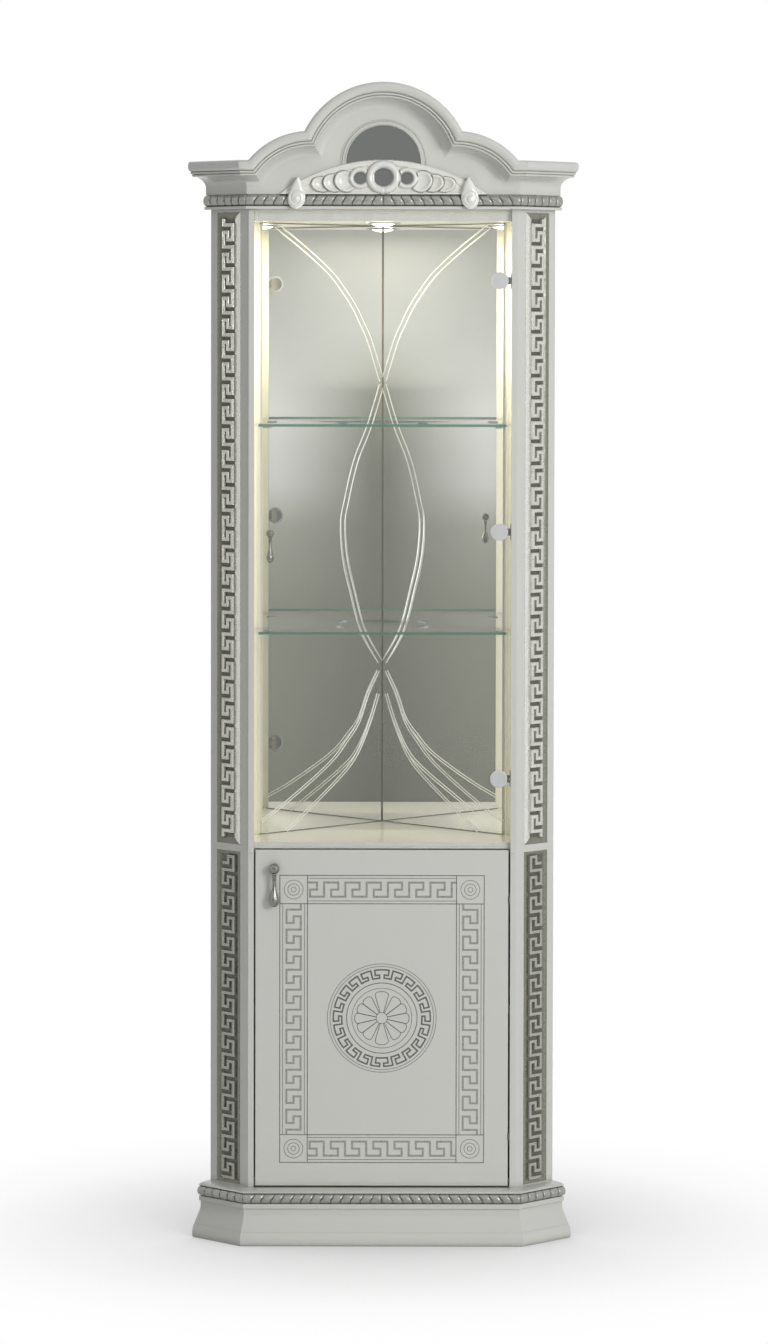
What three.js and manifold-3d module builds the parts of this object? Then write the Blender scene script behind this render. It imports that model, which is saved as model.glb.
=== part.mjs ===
// A corner curio cabinet: a glazed display section over a cupboard, crowned by an arched cornice.
// Seen in plan it is five-sided. The front runs along X and faces -Y, a short return runs back from
// each end of it at 45 degrees, and two back panels meet at a right angle in the rear corner.
// Lengths are in millimetres, +Z is up and z = 0 is the floor. Plan depths are measured back from
// the front face, and a projection is measured outwards from the front and the returns.
import * as THREE from 'three';
import { mergeVertices } from 'three/addons/utils/BufferGeometryUtils.js';
import Module from 'manifold-3d';

const wasm = await Module();
wasm.setup();

// Driving sizes of the carcass
const frontWidth = 508;
const returnRun = 74;
const baseHeight = 104;
const cupboardRise = 657;
const displayHeight = 1179;
const deckThickness = 22;
const ceilingThickness = 22;
const bottomThickness = 18;
const bottomRise = 14;
const topThickness = 18;
const lipTongue = 12.7;
const returnThickness = 20;
const panelThickness = 16;
const stileWidth = 10.5;
const stileDepth = 21.5;
const frontStripThickness = 1.5;

// Clearances
const fit = 0.2;
const mergeTolerance = 0.001;
const sliverTolerance = 0.05;
const cutOverrun = 1;

// Fret panels let into the returns
const returnBorder = 17.3;
const recessDepth = 11;
const recessTopMargin = 5;
const recessBottomMargin = 2;
const railBelowDeckTop = 19;
const railHeight = 13.5;
const upperBevelWidth = 12.5;
const lowerBevelWidth = 8.5;
const trayBevelDepth = 6.5;
const trayThickness = 10.2;
const keyMargin = 15;
const keyStroke = 5.4;
const keyRelief = 4.2;
const upperKeyPitch = 41.7;
const lowerKeyPitch = 39.3;
const lowerKeyStart = 37.6;

// Base moulding
const footProjection = 48;
const footToe = 4;
const footRound = 8;
const footStepHeight = 25;
const footStepProjection = 43.5;
const footQuirk = 1.2;
const neckProjection = 26;
const neckFaceHeight = 10;
const baseFilletHeight = 9.5;
const baseFilletProjection = 30;
const baseRopeHeight = 20;
const baseCapHeight = 6.5;
const baseRopeSeat = 20;
const baseRopeProjection = 37.5;
const capProjection = 31;
const capShoulder = 3;

// Cornice, from its fillet up
const corniceFilletHeight = 6;
const corniceFilletProjection = 17.5;
const corniceRopeHeight = 22;
const corniceRopeSeat = 8;
const corniceRopeProjection = 23;
const friezeProjection = 13.5;
const neckHeight = 13;
const coveHeight = 21;
const coveProjection = 46;
const beadHeight = 4.75;
const lowerBeadProjection = 49.5;
const upperBeadProjection = 53.5;
const beadQuirk = 2.2;
const fasciaHeight = 19.5;
const fasciaProjection = 60;
const fasciaRound = 7;
const archRise = 147;
const centreArchRadius = 165;
const sideArchRadius = 151;
const sideArchCentre = 137;
const sideArchRise = 55;

// Window in the pediment and the smoked mirror behind it
const windowRadius = 70;
const windowDrop = 3;
const windowBottom = 28;
const windowRimWidth = 8;
const windowRimHeight = 2.5;
const smokedPaneThickness = 4;
const smokedPaneMargin = 10;

// Carved crest on the frieze
const crestHalfWidth = 198;
const crestRise = 65;
const crestThickness = 6;
const crestRimWidth = 4;
const crestRimHeight = 2;
const crestSkirt = 6;
const crestLip = 0.8;
const crestRingCentre = 36;
const crestRingRadius = 24.5;
const crestRingTube = 6.5;
const crestEyeSpacing = 42;
const crestEyeCentre = 31;
const crestEyeRadius = 15.5;
const crestEyeTube = 5.2;
const scallopCount = 3;
const scallopSpacing = 23;
const scallopStart = 68;
const scallopRadius = 12.5;
const scallopTube = 4.6;
const scallopDrop = 3.6;
const scallopBase = 25;
const voluteOffset = 162;
const voluteDrop = 6;
const voluteRadius = 17;
const voluteHeight = 10;
const voluteSeat = 7.5;
const voluteLean = 2;
const voluteTail = 38;
const voluteTailRadius = 12;
const voluteStretchShare = 1.1;
const voluteTailShare = 0.7;

// Gadrooned bands
const frontLobes = 28;
const returnLobes = 6;
const lobeDepth = 1.7;
const lobeLean = 6;

// Mirrors, glass shelves and their pins
const mirrorThickness = 4;
const mirrorStart = 97;
const shelfGlass = 6;
const shelfClearance = 1;
const upperShelfLift = 3;
const lowerShelfLift = 1;
const cupboardShelfDrop = 0.5;
const pinRadius = 2.5;
const pinLength = 24;
const pinSeatDepth = 8;
const pinHoleSlack = 0.3;
const frontPinPlace = 127;
const rearPinPlace = 330;
const cupboardShelfThickness = 18;
const cupboardShelfSetback = 20;

// Spotlight in the ceiling
const spotDepth = 135;
const spotHole = 30;
const spotFlange = 34;
const spotFlangeHeight = 2.5;
const spotLens = 24;
const spotLensThickness = 3;
const spotWall = 2;

// Doors
const doorGap = 2.5;
const doorVerticalGap = 2;
const hingeGap = 4.5;
const glassThickness = 6;
const glassSetback = 1;
const glassBevel = 5;
const glassBevelDepth = 2;
const glassOverlap = 11;
const ceilingOverlap = 20;
const lowerDoorThickness = 20;
const lowerDoorSetback = 0.5;
const lowerDoorHingeGap = 3.4;
const lowerDoorEdge = 1.2;

// Hinges
const hingeAxisDepth = 1.5;
const knuckleRadius = 2;
const knuckleBore = 1.35;
const hingePinRadius = 1;
const knuckleHeight = 5;
const knuckleSlack = 0.2;
const outerKnuckleHeight = 3.8;
const leafThickness = 1.1;
const leafHeight = 30;
const leafDepth = 18;
const webThickness = 1.4;
const plateThickness = 2;
const notchSlack = 0.4;
const hingeCapRadius = 16.5;
const hingeCapThickness = 3.5;
const hingeCapEdge = 1.2;
const hingeCupRadius = 13;
const hingeCupThickness = 5;
const hingeBossRadius = 6;
const hingeCapInset = 18.2;
const hingeArmHeight = 14;
const lowerGlassHingeInset = 122;
const upperGlassHingeInset = 112;
const middleGlassHingeLift = 1.5;
const lowerHingeInset = 95;

// Drop pulls, hung from a pin below a ball, and the cupboard catch
const pullBall = 10.2;
const pullReach = 14;
const pullStem = 4.5;
const pullRosette = 8;
const pullRosetteThickness = 2.5;
const pullPinDrop = 14.5;
const pullPinRadius = 1.2;
const pullEarRadius = 3.1;
const pullEarThickness = 1.6;
const pullEarSpacing = 6.4;
const pullEyeRadius = 3;
const pullEyeBore = 1.6;
const pullEyeWidth = 4;
const pullDropRadius = 9.6;
const pullDropLength = 58;
const pullDropShares = [
  [0, 0.031],
  [0.21, 0.031],
  [0.21, 0.072],
  [0.46, 0.083],
  [0.46, 0.114],
  [0.35, 0.128],
  [0.34, 0.207],
  [0.375, 0.345],
  [0.54, 0.5],
  [0.79, 0.638],
  [0.97, 0.724],
  [1, 0.776],
  [0.94, 0.862],
  [0.69, 0.948],
  [0.33, 0.993],
  [0, 1],
];
const pullShank = 2.2;
const pullShankDepth = 9;
const pullNut = 5;
const pullNutThickness = 2.5;
const lowerPullInset = 36.5;
const lowerPullDrop = 34.5;
const glassPullInset = 28;
const glassPullDrop = 1.5;
const glassPullShare = 0.76;
const catchWidth = 44;
const catchDepth = 14;
const catchHeight = 11;
const catchInset = 60;
const strikeWidth = 32;
const strikeHeight = 13;
const strikeThickness = 0.8;

// Facet counts
const roundSides = 20;
const pullSides = 16;
const dropSides = 12;
const smallSides = 8;
const ringSides = 16;
const ringTubeSides = 6;
const scallopSides = 10;
const scallopTubeSides = 5;
const windowSteps = 20;
const lobeSectionSteps = 3;
const centreArchSteps = 18;
const sideArchSteps = 7;
const curveSteps = 5;

// Sizes worked out from the driving ones
const halfFront = frontWidth / 2;
const halfWall = halfFront + returnRun;
const returnWidth = returnRun * Math.SQRT2;
const recessWidth = returnWidth - 2 * returnBorder;
const keyWidth = recessWidth - 2 * keyMargin;
const rearDepth = halfWall + returnRun;
const wallLength = halfWall * Math.SQRT2;
const cornerRate = Math.tan(Math.PI / 8);
const deckTop = baseHeight + cupboardRise;
const deckBottom = deckTop - deckThickness;
const ceilingBottom = deckTop + displayHeight;
const bodyTop = ceilingBottom + ceilingThickness;
const bottomTop = baseHeight + bottomRise;
const stileEdge = halfFront - stileWidth;
const railTop = deckTop - railBelowDeckTop + railHeight;
const corniceSeat = bodyTop + corniceFilletHeight;
const friezeBottom = corniceSeat + corniceRopeHeight;
const mouldingHeight = fasciaHeight + 2 * beadHeight + coveHeight;
const flatTop = friezeBottom + neckHeight + mouldingHeight;
const depthCentre = (rearDepth - fasciaProjection) / 2;
const boardSetback = stileDepth + fit;
const shelfSetback = stileDepth + shelfClearance;
const hingeAxisX = stileEdge - knuckleRadius - fit;
const doorLeft = doorGap - stileEdge;
const glassRight = stileEdge - hingeGap;
const glassBottom = deckTop - glassOverlap;
const glassTop = ceilingBottom + ceilingOverlap;
const glassBack = glassSetback + glassThickness;
const lowerDoorRight = stileEdge - lowerDoorHingeGap;
const lowerDoorTop = glassBottom - doorGap;
const lowerDoorBottom = baseHeight + doorVerticalGap;
const lowerDoorBack = lowerDoorSetback + lowerDoorThickness;

// Materials, with colours taken by eye
const finish = (color, roughness, metalness) =>
  new THREE.MeshStandardMaterial({ color, roughness, metalness });
const lacquer = finish(0xdddcd6, 0.2, 0);
const innerLacquer = finish(0xe6e2d2, 0.35, 0);
const silverLeaf = finish(0xa9aaa4, 0.4, 0.7);
const chrome = finish(0xc8c8c8, 0.08, 1);
const darkSteel = finish(0x4a4a4c, 0.35, 1);
const mirrorGlass = finish(0xb9bcbb, 0.03, 1);
const smokedMirror = finish(0x7c7c82, 0.1, 1);
const clearGlass = finish(0xd8e6e0, 0.04, 0);
const magnet = finish(0xf0f0ee, 0.5, 0);
const lampGlow = finish(0xfff6dc, 0.3, 0);

// Closed meshes become solids that can be joined and cut, and go back to geometry at the end.
function solidOf(geometry) {
  const bare = geometry.clone().deleteAttribute('normal').deleteAttribute('uv');
  const merged = mergeVertices(bare, mergeTolerance);
  const triVerts = new Uint32Array(merged.index.array);
  return new wasm.Manifold(
    new wasm.Mesh({ numProp: 3, vertProperties: merged.attributes.position.array, triVerts }),
  );
}

function geometryOf(solid) {
  const mesh = solid.setTolerance(sliverTolerance).getMesh();
  const geometry = new THREE.BufferGeometry();
  geometry.setAttribute('position', new THREE.BufferAttribute(mesh.vertProperties, 3));
  geometry.setIndex(new THREE.BufferAttribute(mesh.triVerts, 1));
  const faceted = geometry.toNonIndexed();
  faceted.computeVertexNormals();
  return faceted;
}

function join(first, ...rest) {
  return geometryOf(rest.reduce((sum, g) => sum.add(solidOf(g)), solidOf(first)));
}

function cut(first, ...rest) {
  return geometryOf(rest.reduce((sum, g) => sum.subtract(solidOf(g)), solidOf(first)));
}

// Skins a row of closed rings and caps both ends, with the faces turned outwards.
function loft(rings, capPoints) {
  const count = rings[0].length;
  const positions = rings.flat().flatMap((point) => [point.x, point.y, point.z]);
  const index = [];
  for (let i = 0; i + 1 < rings.length; i++) {
    for (let j = 0; j < count; j++) {
      const a = i * count + j;
      const b = i * count + ((j + 1) % count);
      index.push(a, b, b + count, a, b + count, a + count);
    }
  }
  const last = (rings.length - 1) * count;
  const turned = THREE.ShapeUtils.isClockWise(capPoints);
  for (const [a, b, c] of THREE.ShapeUtils.triangulateShape(capPoints, [])) {
    if (turned) index.push(a, b, c, last + a, last + c, last + b);
    else index.push(a, c, b, last + a, last + b, last + c);
  }
  if (enclosedVolume(positions, index) < 0) index.reverse();
  const geometry = new THREE.BufferGeometry();
  geometry.setAttribute('position', new THREE.Float32BufferAttribute(positions, 3));
  geometry.setIndex(index);
  return geometry;
}

function enclosedVolume(positions, index) {
  const corner = (i) => new THREE.Vector3().fromArray(positions, 3 * index[i]);
  let sum = 0;
  for (let i = 0; i < index.length; i += 3) sum += corner(i).dot(corner(i + 1).cross(corner(i + 2)));
  return sum;
}

const flat = (x, y) => new THREE.Vector2(x, y);

// A board: a plan outline raised from one height to another.
function board(points, bottom, top) {
  const geometry = new THREE.ExtrudeGeometry(new THREE.Shape(points), {
    depth: top - bottom,
    bevelEnabled: false,
    curveSegments: roundSides,
  });
  return geometry.translate(0, 0, bottom);
}

// A plate parallel to the front: an outline in X and Z, reaching forwards from the given depth.
function frontPlate(shape, thickness, backDepth, steps = roundSides) {
  const geometry = new THREE.ExtrudeGeometry(shape, {
    depth: thickness,
    bevelEnabled: false,
    curveSegments: steps,
  });
  return geometry.rotateX(Math.PI / 2).translate(0, backDepth, 0);
}

function box(width, depth, height, x, y, z) {
  return new THREE.BoxGeometry(width, depth, height).translate(x, y, z);
}

const uprightRod = (radius, height, sides) =>
  new THREE.CylinderGeometry(radius, radius, height, sides).rotateX(Math.PI / 2);
const crossRod = (radius, length, sides) =>
  new THREE.CylinderGeometry(radius, radius, length, sides).rotateZ(Math.PI / 2);
const facingRod = (radius, length, sides) =>
  new THREE.CylinderGeometry(radius, radius, length, sides);

// A profile turned about the Y axis, with its faces outwards.
function turned(points, sides = roundSides) {
  const geometry = new THREE.LatheGeometry(points, sides);
  const triangles = geometry.index.array;
  if (enclosedVolume(geometry.attributes.position.array, triangles) < 0) triangles.reverse();
  return geometry;
}

// The plan outline with the front, the returns and the walls each moved inwards by its own amount.
function planOutline({ front, side, wall }) {
  const sideLine = halfFront - side * Math.SQRT2;
  const wallLine = rearDepth - wall * Math.SQRT2;
  const frontX = sideLine + front;
  const endX = (sideLine + wallLine) / 2;
  const endY = (wallLine - sideLine) / 2;
  return [
    flat(-frontX, front),
    flat(frontX, front),
    flat(endX, endY),
    flat(0, wallLine),
    flat(-endX, endY),
  ];
}

// A point near a wall: along it from the wall end towards the rear corner, and inwards from it.
function wallPoint(side, along, inwards) {
  const x = halfWall - (along + inwards) / Math.SQRT2;
  return flat(side * x, returnRun + (along - inwards) / Math.SQRT2);
}

function wallBoard(side, from, to, face, thickness, bottom, top) {
  const corners = [
    wallPoint(side, from, face),
    wallPoint(side, to, face),
    wallPoint(side, to, face + thickness),
    wallPoint(side, from, face + thickness),
  ];
  return board(corners, bottom, top);
}

// The inwards direction of a wall, and a rod of any kind laid along it.
const wallInwards = (side) => new THREE.Vector3(-side, -1, 0).normalize();

function alongWallNormal(side, geometry) {
  const turn = new THREE.Quaternion().setFromUnitVectors(new THREE.Vector3(0, 1, 0), wallInwards(side));
  return geometry.applyQuaternion(turn);
}

// Points of the moulding that runs round the front and the returns, at a projection and a height.
const wallEndPoint = (side, projection, z) =>
  new THREE.Vector3(side * (halfWall + projection / Math.SQRT2), returnRun - projection / Math.SQRT2, z);
const cornerPoint = (side, projection, z) =>
  new THREE.Vector3(side * (halfFront + projection * cornerRate), -projection, z);

const cabinet = new THREE.Group();
cabinet.position.y = -depthCentre;

function place(name, geometry, material, parent = cabinet) {
  const mesh = new THREE.Mesh(geometry, material);
  mesh.name = name;
  parent.add(mesh);
  return mesh;
}

const sides = [
  ['left', -1],
  ['right', 1],
];

// A frame on each return: its origin is the front corner, X runs along the face and -Y points out.
function returnFrame(side) {
  const group = new THREE.Group();
  group.position.set(side * halfFront, 0, 0);
  group.rotation.z = (side * Math.PI) / 4;
  cabinet.add(group);
  return group;
}

const recesses = [
  ['lower', baseHeight + recessBottomMargin, railTop - railHeight],
  ['upper', railTop, bodyTop - recessTopMargin],
];

// A post: the return and its narrow front stile in one piece, with a recess for each fret panel.
function makePost(side) {
  const innerLine = halfFront - returnThickness * Math.SQRT2;
  const outline = [
    flat(side * stileEdge, 0),
    flat(side * halfFront, 0),
    wallPoint(side, 0, 0),
    wallPoint(side, returnThickness, 0),
    flat(side * (innerLine + stileDepth), stileDepth),
    flat(side * stileEdge, stileDepth),
  ];
  const cuts = recesses.map(([, bottom, top]) => {
    const height = top - bottom;
    const pocketX = (side * returnWidth) / 2;
    const pocket = box(recessWidth, 2 * recessDepth, height, pocketX, 0, bottom + height / 2);
    return pocket.rotateZ((side * Math.PI) / 4).translate(side * halfFront, 0, 0);
  });
  return cut(board(outline, 0, bodyTop), ...cuts);
}

// The centre line of one Greek key above its cross bar, in a band centred on x = 0.
function keyUnit(reach, bottom, pitch) {
  const third = pitch / 3;
  return [
    flat(-reach, bottom + 2 * third),
    flat(0, bottom + 2 * third),
    flat(0, bottom + third),
    flat(reach, bottom + third),
    flat(reach, bottom + pitch),
    flat(-reach, bottom + pitch),
  ];
}

// A right-angled line given a width, as one outline.
function ribbon(line, width) {
  const half = width / 2;
  const edge = (sign) =>
    line.map((point, i) => {
      const before = point.clone().sub(line[Math.max(i - 1, 0)]);
      const after = line[Math.min(i + 1, line.length - 1)].clone().sub(point);
      const normal = flat(0, 0);
      for (const step of [before, after]) {
        const n = flat(-Math.sign(step.y), Math.sign(step.x));
        if (n.x) normal.x = n.x;
        if (n.y) normal.y = n.y;
      }
      return point.clone().addScaledVector(normal, sign * half);
    });
  return new THREE.Shape([...edge(1), ...edge(-1).reverse()]);
}

// The upper key is mirrored about the middle of its panel and the lower one hangs from the top.
function upperKeyLine(reach, height) {
  const units = Math.round(height / 2 / upperKeyPitch);
  const above = [];
  for (let i = 0; i < units; i++) above.push(...keyUnit(reach, (i - 1 / 6) * upperKeyPitch, upperKeyPitch));
  above.push(flat(-reach, height));
  const below = above.map((point) => flat(point.x, -point.y)).reverse();
  return [...below, ...above];
}

function lowerKeyLine(reach, height) {
  const units = Math.ceil(height / lowerKeyPitch) + 1;
  const line = [];
  for (let i = 0; i < units; i++) {
    const bottom = lowerKeyStart - height / 2 + (i - 1) * lowerKeyPitch;
    line.push(...keyUnit(reach, bottom, lowerKeyPitch));
  }
  return line.map((point) => flat(point.x, -point.y));
}

// A fret panel: a shallow tray with mitred bevels round a raised key.
function makeFret(side, height, bevel, keyLine) {
  const ring = (inset, depth) => {
    const x = recessWidth / 2 - inset;
    const z = height / 2 - inset;
    return [
      new THREE.Vector3(-x, depth, -z),
      new THREE.Vector3(x, depth, -z),
      new THREE.Vector3(x, depth, z),
      new THREE.Vector3(-x, depth, z),
    ];
  };
  const back = recessDepth - fit;
  const ground = back - trayThickness + trayBevelDepth;
  const rings = [ring(fit, back), ring(fit, back - trayThickness), ring(bevel, ground)];
  const tray = loft(rings, rings[0].map((point) => flat(point.x, point.z)));
  const reach = (-side * (keyWidth - keyStroke)) / 2;
  const key = frontPlate(ribbon(keyLine(reach, height), keyStroke), keyRelief + fit, ground + fit);
  const field = box(recessWidth, 2 * back, height - 2 * bevel + 2 * fit, 0, back, 0);
  return join(tray, geometryOf(solidOf(key).intersect(solidOf(field))));
}

for (const [hand, side] of sides) {
  place(`${hand}_post`, makePost(side), lacquer);
  const frame = returnFrame(side);
  for (const [level, bottom, top] of recesses) {
    const upper = level === 'upper';
    const bevel = upper ? upperBevelWidth : lowerBevelWidth;
    const fret = makeFret(side, top - bottom, bevel, upper ? upperKeyLine : lowerKeyLine);
    const mesh = place(`${level}_${hand}_fret`, fret, silverLeaf, frame);
    mesh.position.set((side * returnWidth) / 2, 0, (bottom + top) / 2);
  }
  const stripCentre = halfFront - stileWidth / 2;
  const stripHeight = bodyTop - (railTop - railHeight);
  const strip = box(stileWidth, frontStripThickness, stripHeight, 0, 0, 0);
  const stripMesh = place(`${hand}_front_strip`, strip, lacquer);
  stripMesh.position.set(side * stripCentre, -fit - frontStripThickness / 2, bodyTop - stripHeight / 2);
}

// Pins that carry the shelves stand in blind holes of the back panels.
const shelfLevels = [
  ['upper_shelf', deckTop + (2 * displayHeight) / 3 + upperShelfLift],
  ['lower_shelf', deckTop + displayHeight / 3 + lowerShelfLift],
  ['cupboard_shelf', (bottomTop + deckBottom) / 2 - cupboardShelfDrop],
];
const pinPlaces = [
  ['front', frontPinPlace],
  ['rear', rearPinPlace],
];
const pinHeight = (level) => level - fit - pinRadius;

function pinHoles(side) {
  const radius = pinRadius + pinHoleSlack;
  const depth = pinSeatDepth + mirrorThickness + cutOverrun;
  return shelfLevels.flatMap(([, level]) =>
    pinPlaces.map(([, along]) => {
      const hole = alongWallNormal(side, facingRod(radius, depth, smallSides));
      const middle = wallPoint(side, along, panelThickness - pinSeatDepth + depth / 2);
      return hole.translate(middle.x, middle.y, pinHeight(level));
    }),
  );
}

const cornerCover = { left: panelThickness + fit, right: 0 };
const mirrorCover = { left: fit, right: mirrorThickness + 2 * fit };
for (const [hand, side] of sides) {
  const holes = pinHoles(side);
  const panelEnd = wallLength - cornerCover[hand];
  const panel = wallBoard(side, returnThickness + fit, panelEnd, 0, panelThickness, 0, bodyTop);
  place(`${hand}_back_panel`, cut(panel, ...holes), innerLacquer);
  const mirrorFace = panelThickness + fit;
  const mirrorEnd = wallLength - panelThickness - fit - mirrorCover[hand];
  const pane = wallBoard(
    side,
    returnThickness + mirrorStart,
    mirrorEnd,
    mirrorFace,
    mirrorThickness,
    deckTop + fit,
    ceilingBottom - fit,
  );
  place(`${hand}_mirror`, cut(pane, ...holes), mirrorGlass);
  for (const [shelf, level] of shelfLevels) {
    for (const [where, along] of pinPlaces) {
      const pin = alongWallNormal(side, facingRod(pinRadius, pinLength, smallSides));
      const middle = wallPoint(side, along, panelThickness - pinSeatDepth + fit + pinLength / 2);
      place(`${shelf}_${where}_${hand}_pin`, pin, chrome).position.set(middle.x, middle.y, pinHeight(level));
    }
  }
}

// Boards between the posts and the back panels
const boardInset = { front: boardSetback, side: returnThickness + fit, wall: panelThickness + fit };
place('bottom_board', board(planOutline(boardInset), bottomTop - bottomThickness, bottomTop), innerLacquer);
const lipFront = glassSetback + glassThickness + doorGap;

function frontLip(bottom, top) {
  const corners = [
    flat(-stileEdge + fit, lipFront),
    flat(stileEdge - fit, lipFront),
    flat(stileEdge - fit, boardSetback),
    flat(stileEdge - lipTongue, boardSetback + lipTongue / 2),
    flat(-stileEdge + lipTongue, boardSetback + lipTongue / 2),
    flat(-stileEdge + fit, boardSetback),
  ];
  return board(corners, bottom, top);
}

const deck = board(planOutline(boardInset), deckBottom, deckTop);
place('middle_deck', join(deck, frontLip(lowerDoorTop + doorVerticalGap, deckTop)), innerLacquer);
const ceilingField = board(planOutline(boardInset), ceilingBottom, bodyTop);
const ceiling = join(ceilingField, frontLip(ceilingBottom, bodyTop));
const spotCut = uprightRod(spotHole + fit, 2 * ceilingThickness, roundSides);
spotCut.translate(0, spotDepth, bodyTop);
place('ceiling_board', cut(ceiling, spotCut), innerLacquer);

const topOutline = planOutline({ front: fit, side: fit, wall: 0 });
place('top_board', board(topOutline, bodyTop, bodyTop + topThickness), innerLacquer);

const cupboardShelfOutline = planOutline({
  front: boardSetback + cupboardShelfSetback,
  side: returnThickness + shelfClearance,
  wall: panelThickness + shelfClearance,
});
const glassShelfOutline = planOutline({
  front: shelfSetback,
  side: returnThickness + shelfClearance,
  wall: panelThickness + mirrorThickness + shelfClearance,
});
for (const [name, level] of shelfLevels) {
  const wooden = name === 'cupboard_shelf';
  const outline = wooden ? cupboardShelfOutline : glassShelfOutline;
  const thickness = wooden ? cupboardShelfThickness : shelfGlass;
  const label = wooden ? name : name.replace('shelf', 'glass_shelf');
  place(label, board(outline, 0, thickness), wooden ? innerLacquer : clearGlass).position.z = level;
}

// The spotlight: a flanged ring let into the ceiling, with its lens seated in the ring.
const spot = new THREE.Group();
spot.position.set(0, spotDepth, ceilingBottom);
cabinet.add(spot);
const bezelInner = spotLens + fit;
const bezelProfile = [
  flat(bezelInner, -spotFlangeHeight),
  flat(spotFlange, -spotFlangeHeight / 2),
  flat(spotFlange, -fit),
  flat(spotHole, -fit),
  flat(spotHole, ceilingThickness),
  flat(spotHole - spotWall, ceilingThickness),
  flat(spotHole - spotWall, spotLensThickness + fit),
  flat(bezelInner, spotLensThickness + fit),
  flat(bezelInner, -spotFlangeHeight),
];
const bezel = new THREE.LatheGeometry(bezelProfile, roundSides).rotateX(Math.PI / 2);
place('spotlight_bezel', bezel, chrome, spot);
const lensProfile = [
  flat(0, 0),
  flat(spotLens, 0),
  flat(spotLens, spotLensThickness),
  flat(0, spotLensThickness),
];
const lens = new THREE.LatheGeometry(lensProfile, roundSides).rotateX(Math.PI / 2);
place('spotlight_lens', lens, lampGlow, spot);

// Mouldings are swept round the front and the returns, mitred at the corners and cut at the walls.
function sweep(profile) {
  const stations = [
    (point) => wallEndPoint(-1, point.x, point.y),
    (point) => cornerPoint(-1, point.x, point.y),
    (point) => cornerPoint(1, point.x, point.y),
    (point) => wallEndPoint(1, point.x, point.y),
  ];
  return loft(stations.map((station) => profile.map(station)), profile);
}

const baseRopeTop = baseHeight - baseCapHeight;
const baseRopeBottom = baseRopeTop - baseRopeHeight;
const baseFilletBottom = baseRopeBottom - baseFilletHeight;
const neckBottom = baseFilletBottom - neckFaceHeight;
const basePath = new THREE.Path();
basePath.moveTo(fit, 0);
basePath.lineTo(footProjection - footToe, 0);
basePath.quadraticCurveTo(footProjection, 0, footProjection, footRound);
basePath.quadraticCurveTo(footProjection, footStepHeight - footRound, footStepProjection, footStepHeight);
basePath.lineTo(footStepProjection - footQuirk, footStepHeight);
const flareMiddle = (footStepProjection + neckProjection) / 2;
const flareRise = (footStepHeight + neckBottom) / 2;
const neckPull = neckBottom - footRound;
basePath.bezierCurveTo(flareMiddle, flareRise, neckProjection, neckPull, neckProjection, neckBottom);
basePath.lineTo(neckProjection, baseFilletBottom);
basePath.lineTo(baseFilletProjection, baseFilletBottom);
basePath.lineTo(baseFilletProjection, baseRopeBottom - fit);
basePath.lineTo(baseRopeSeat, baseRopeBottom - fit);
basePath.lineTo(baseRopeSeat, baseRopeTop + fit);
basePath.lineTo(capProjection, baseRopeTop + fit);
basePath.quadraticCurveTo(capProjection - capShoulder, baseHeight - fit, fit, baseHeight);
place('base_moulding', sweep(basePath.getPoints(curveSteps)), lacquer);

// A gadrooned band: a half-round strip whose lobes lean towards the middle of the front.
function gadroonBand(bottom, height, seat, projection) {
  const lobeShares = [0, 0.3, 0.7];
  const swellShares = [0, 1, 1];
  const bulge = projection - seat - lobeDepth;
  const rings = [];
  const addRun = (start, end, lobes, lean) => {
    for (let i = 0; i < lobes; i++) {
      lobeShares.forEach((share, k) => {
        const along = (i + share) / lobes;
        const taper = Math.min(1, along * lobes, (1 - along) * lobes);
        rings.push({ start, end, along, swell: swellShares[k], shift: (lean * taper) / lobes });
      });
    }
  };
  const halfway = (z) => (p) => new THREE.Vector3(0, -p, z);
  const left = (z) => (p) => cornerPoint(-1, p, z);
  const right = (z) => (p) => cornerPoint(1, p, z);
  const leanShare = lobeLean / (frontWidth / frontLobes);
  addRun((z) => (p) => wallEndPoint(-1, p, z), left, returnLobes, 0);
  addRun(left, halfway, frontLobes / 2, leanShare);
  addRun(halfway, right, frontLobes / 2, -leanShare);
  addRun(right, (z) => (p) => wallEndPoint(1, p, z), returnLobes, 0);
  rings.push({ ...rings[rings.length - 1], along: 1, swell: 0, shift: 0 });
  const section = [];
  for (let j = 0; j <= lobeSectionSteps; j++) {
    const angle = (Math.PI * j) / lobeSectionSteps - Math.PI / 2;
    section.push({ out: Math.cos(angle), up: (Math.sin(angle) + 1) / 2 });
  }
  const point = (ring, out, up) => {
    const p = seat + fit + out * (bulge + lobeDepth * ring.swell);
    const z = bottom + up * height;
    const along = ring.along + ring.shift * (up - 0.5);
    return ring.start(z)(p).lerp(ring.end(z)(p), along);
  };
  const lipShare = 0.3;
  const loops = rings.map((ring) => [
    point(ring, 0, 0),
    ...section.map(({ out, up }) => point(ring, Math.max(out, lipShare), up)),
    point(ring, 0, 1),
  ]);
  const capPoints = loops[0].map((v) => flat(-v.x - v.y, v.z));
  return loft(loops, capPoints);
}

const baseRope = gadroonBand(baseRopeBottom, baseRopeHeight, baseRopeSeat, baseRopeProjection);
place('base_rope', baseRope, silverLeaf);

// The crown's top outline: a centre arch, two side arches and flats, each offset inwards by a drop.
const centreArchZ = flatTop + archRise - centreArchRadius;
const sideArchZ = flatTop + sideArchRise - sideArchRadius;

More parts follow.
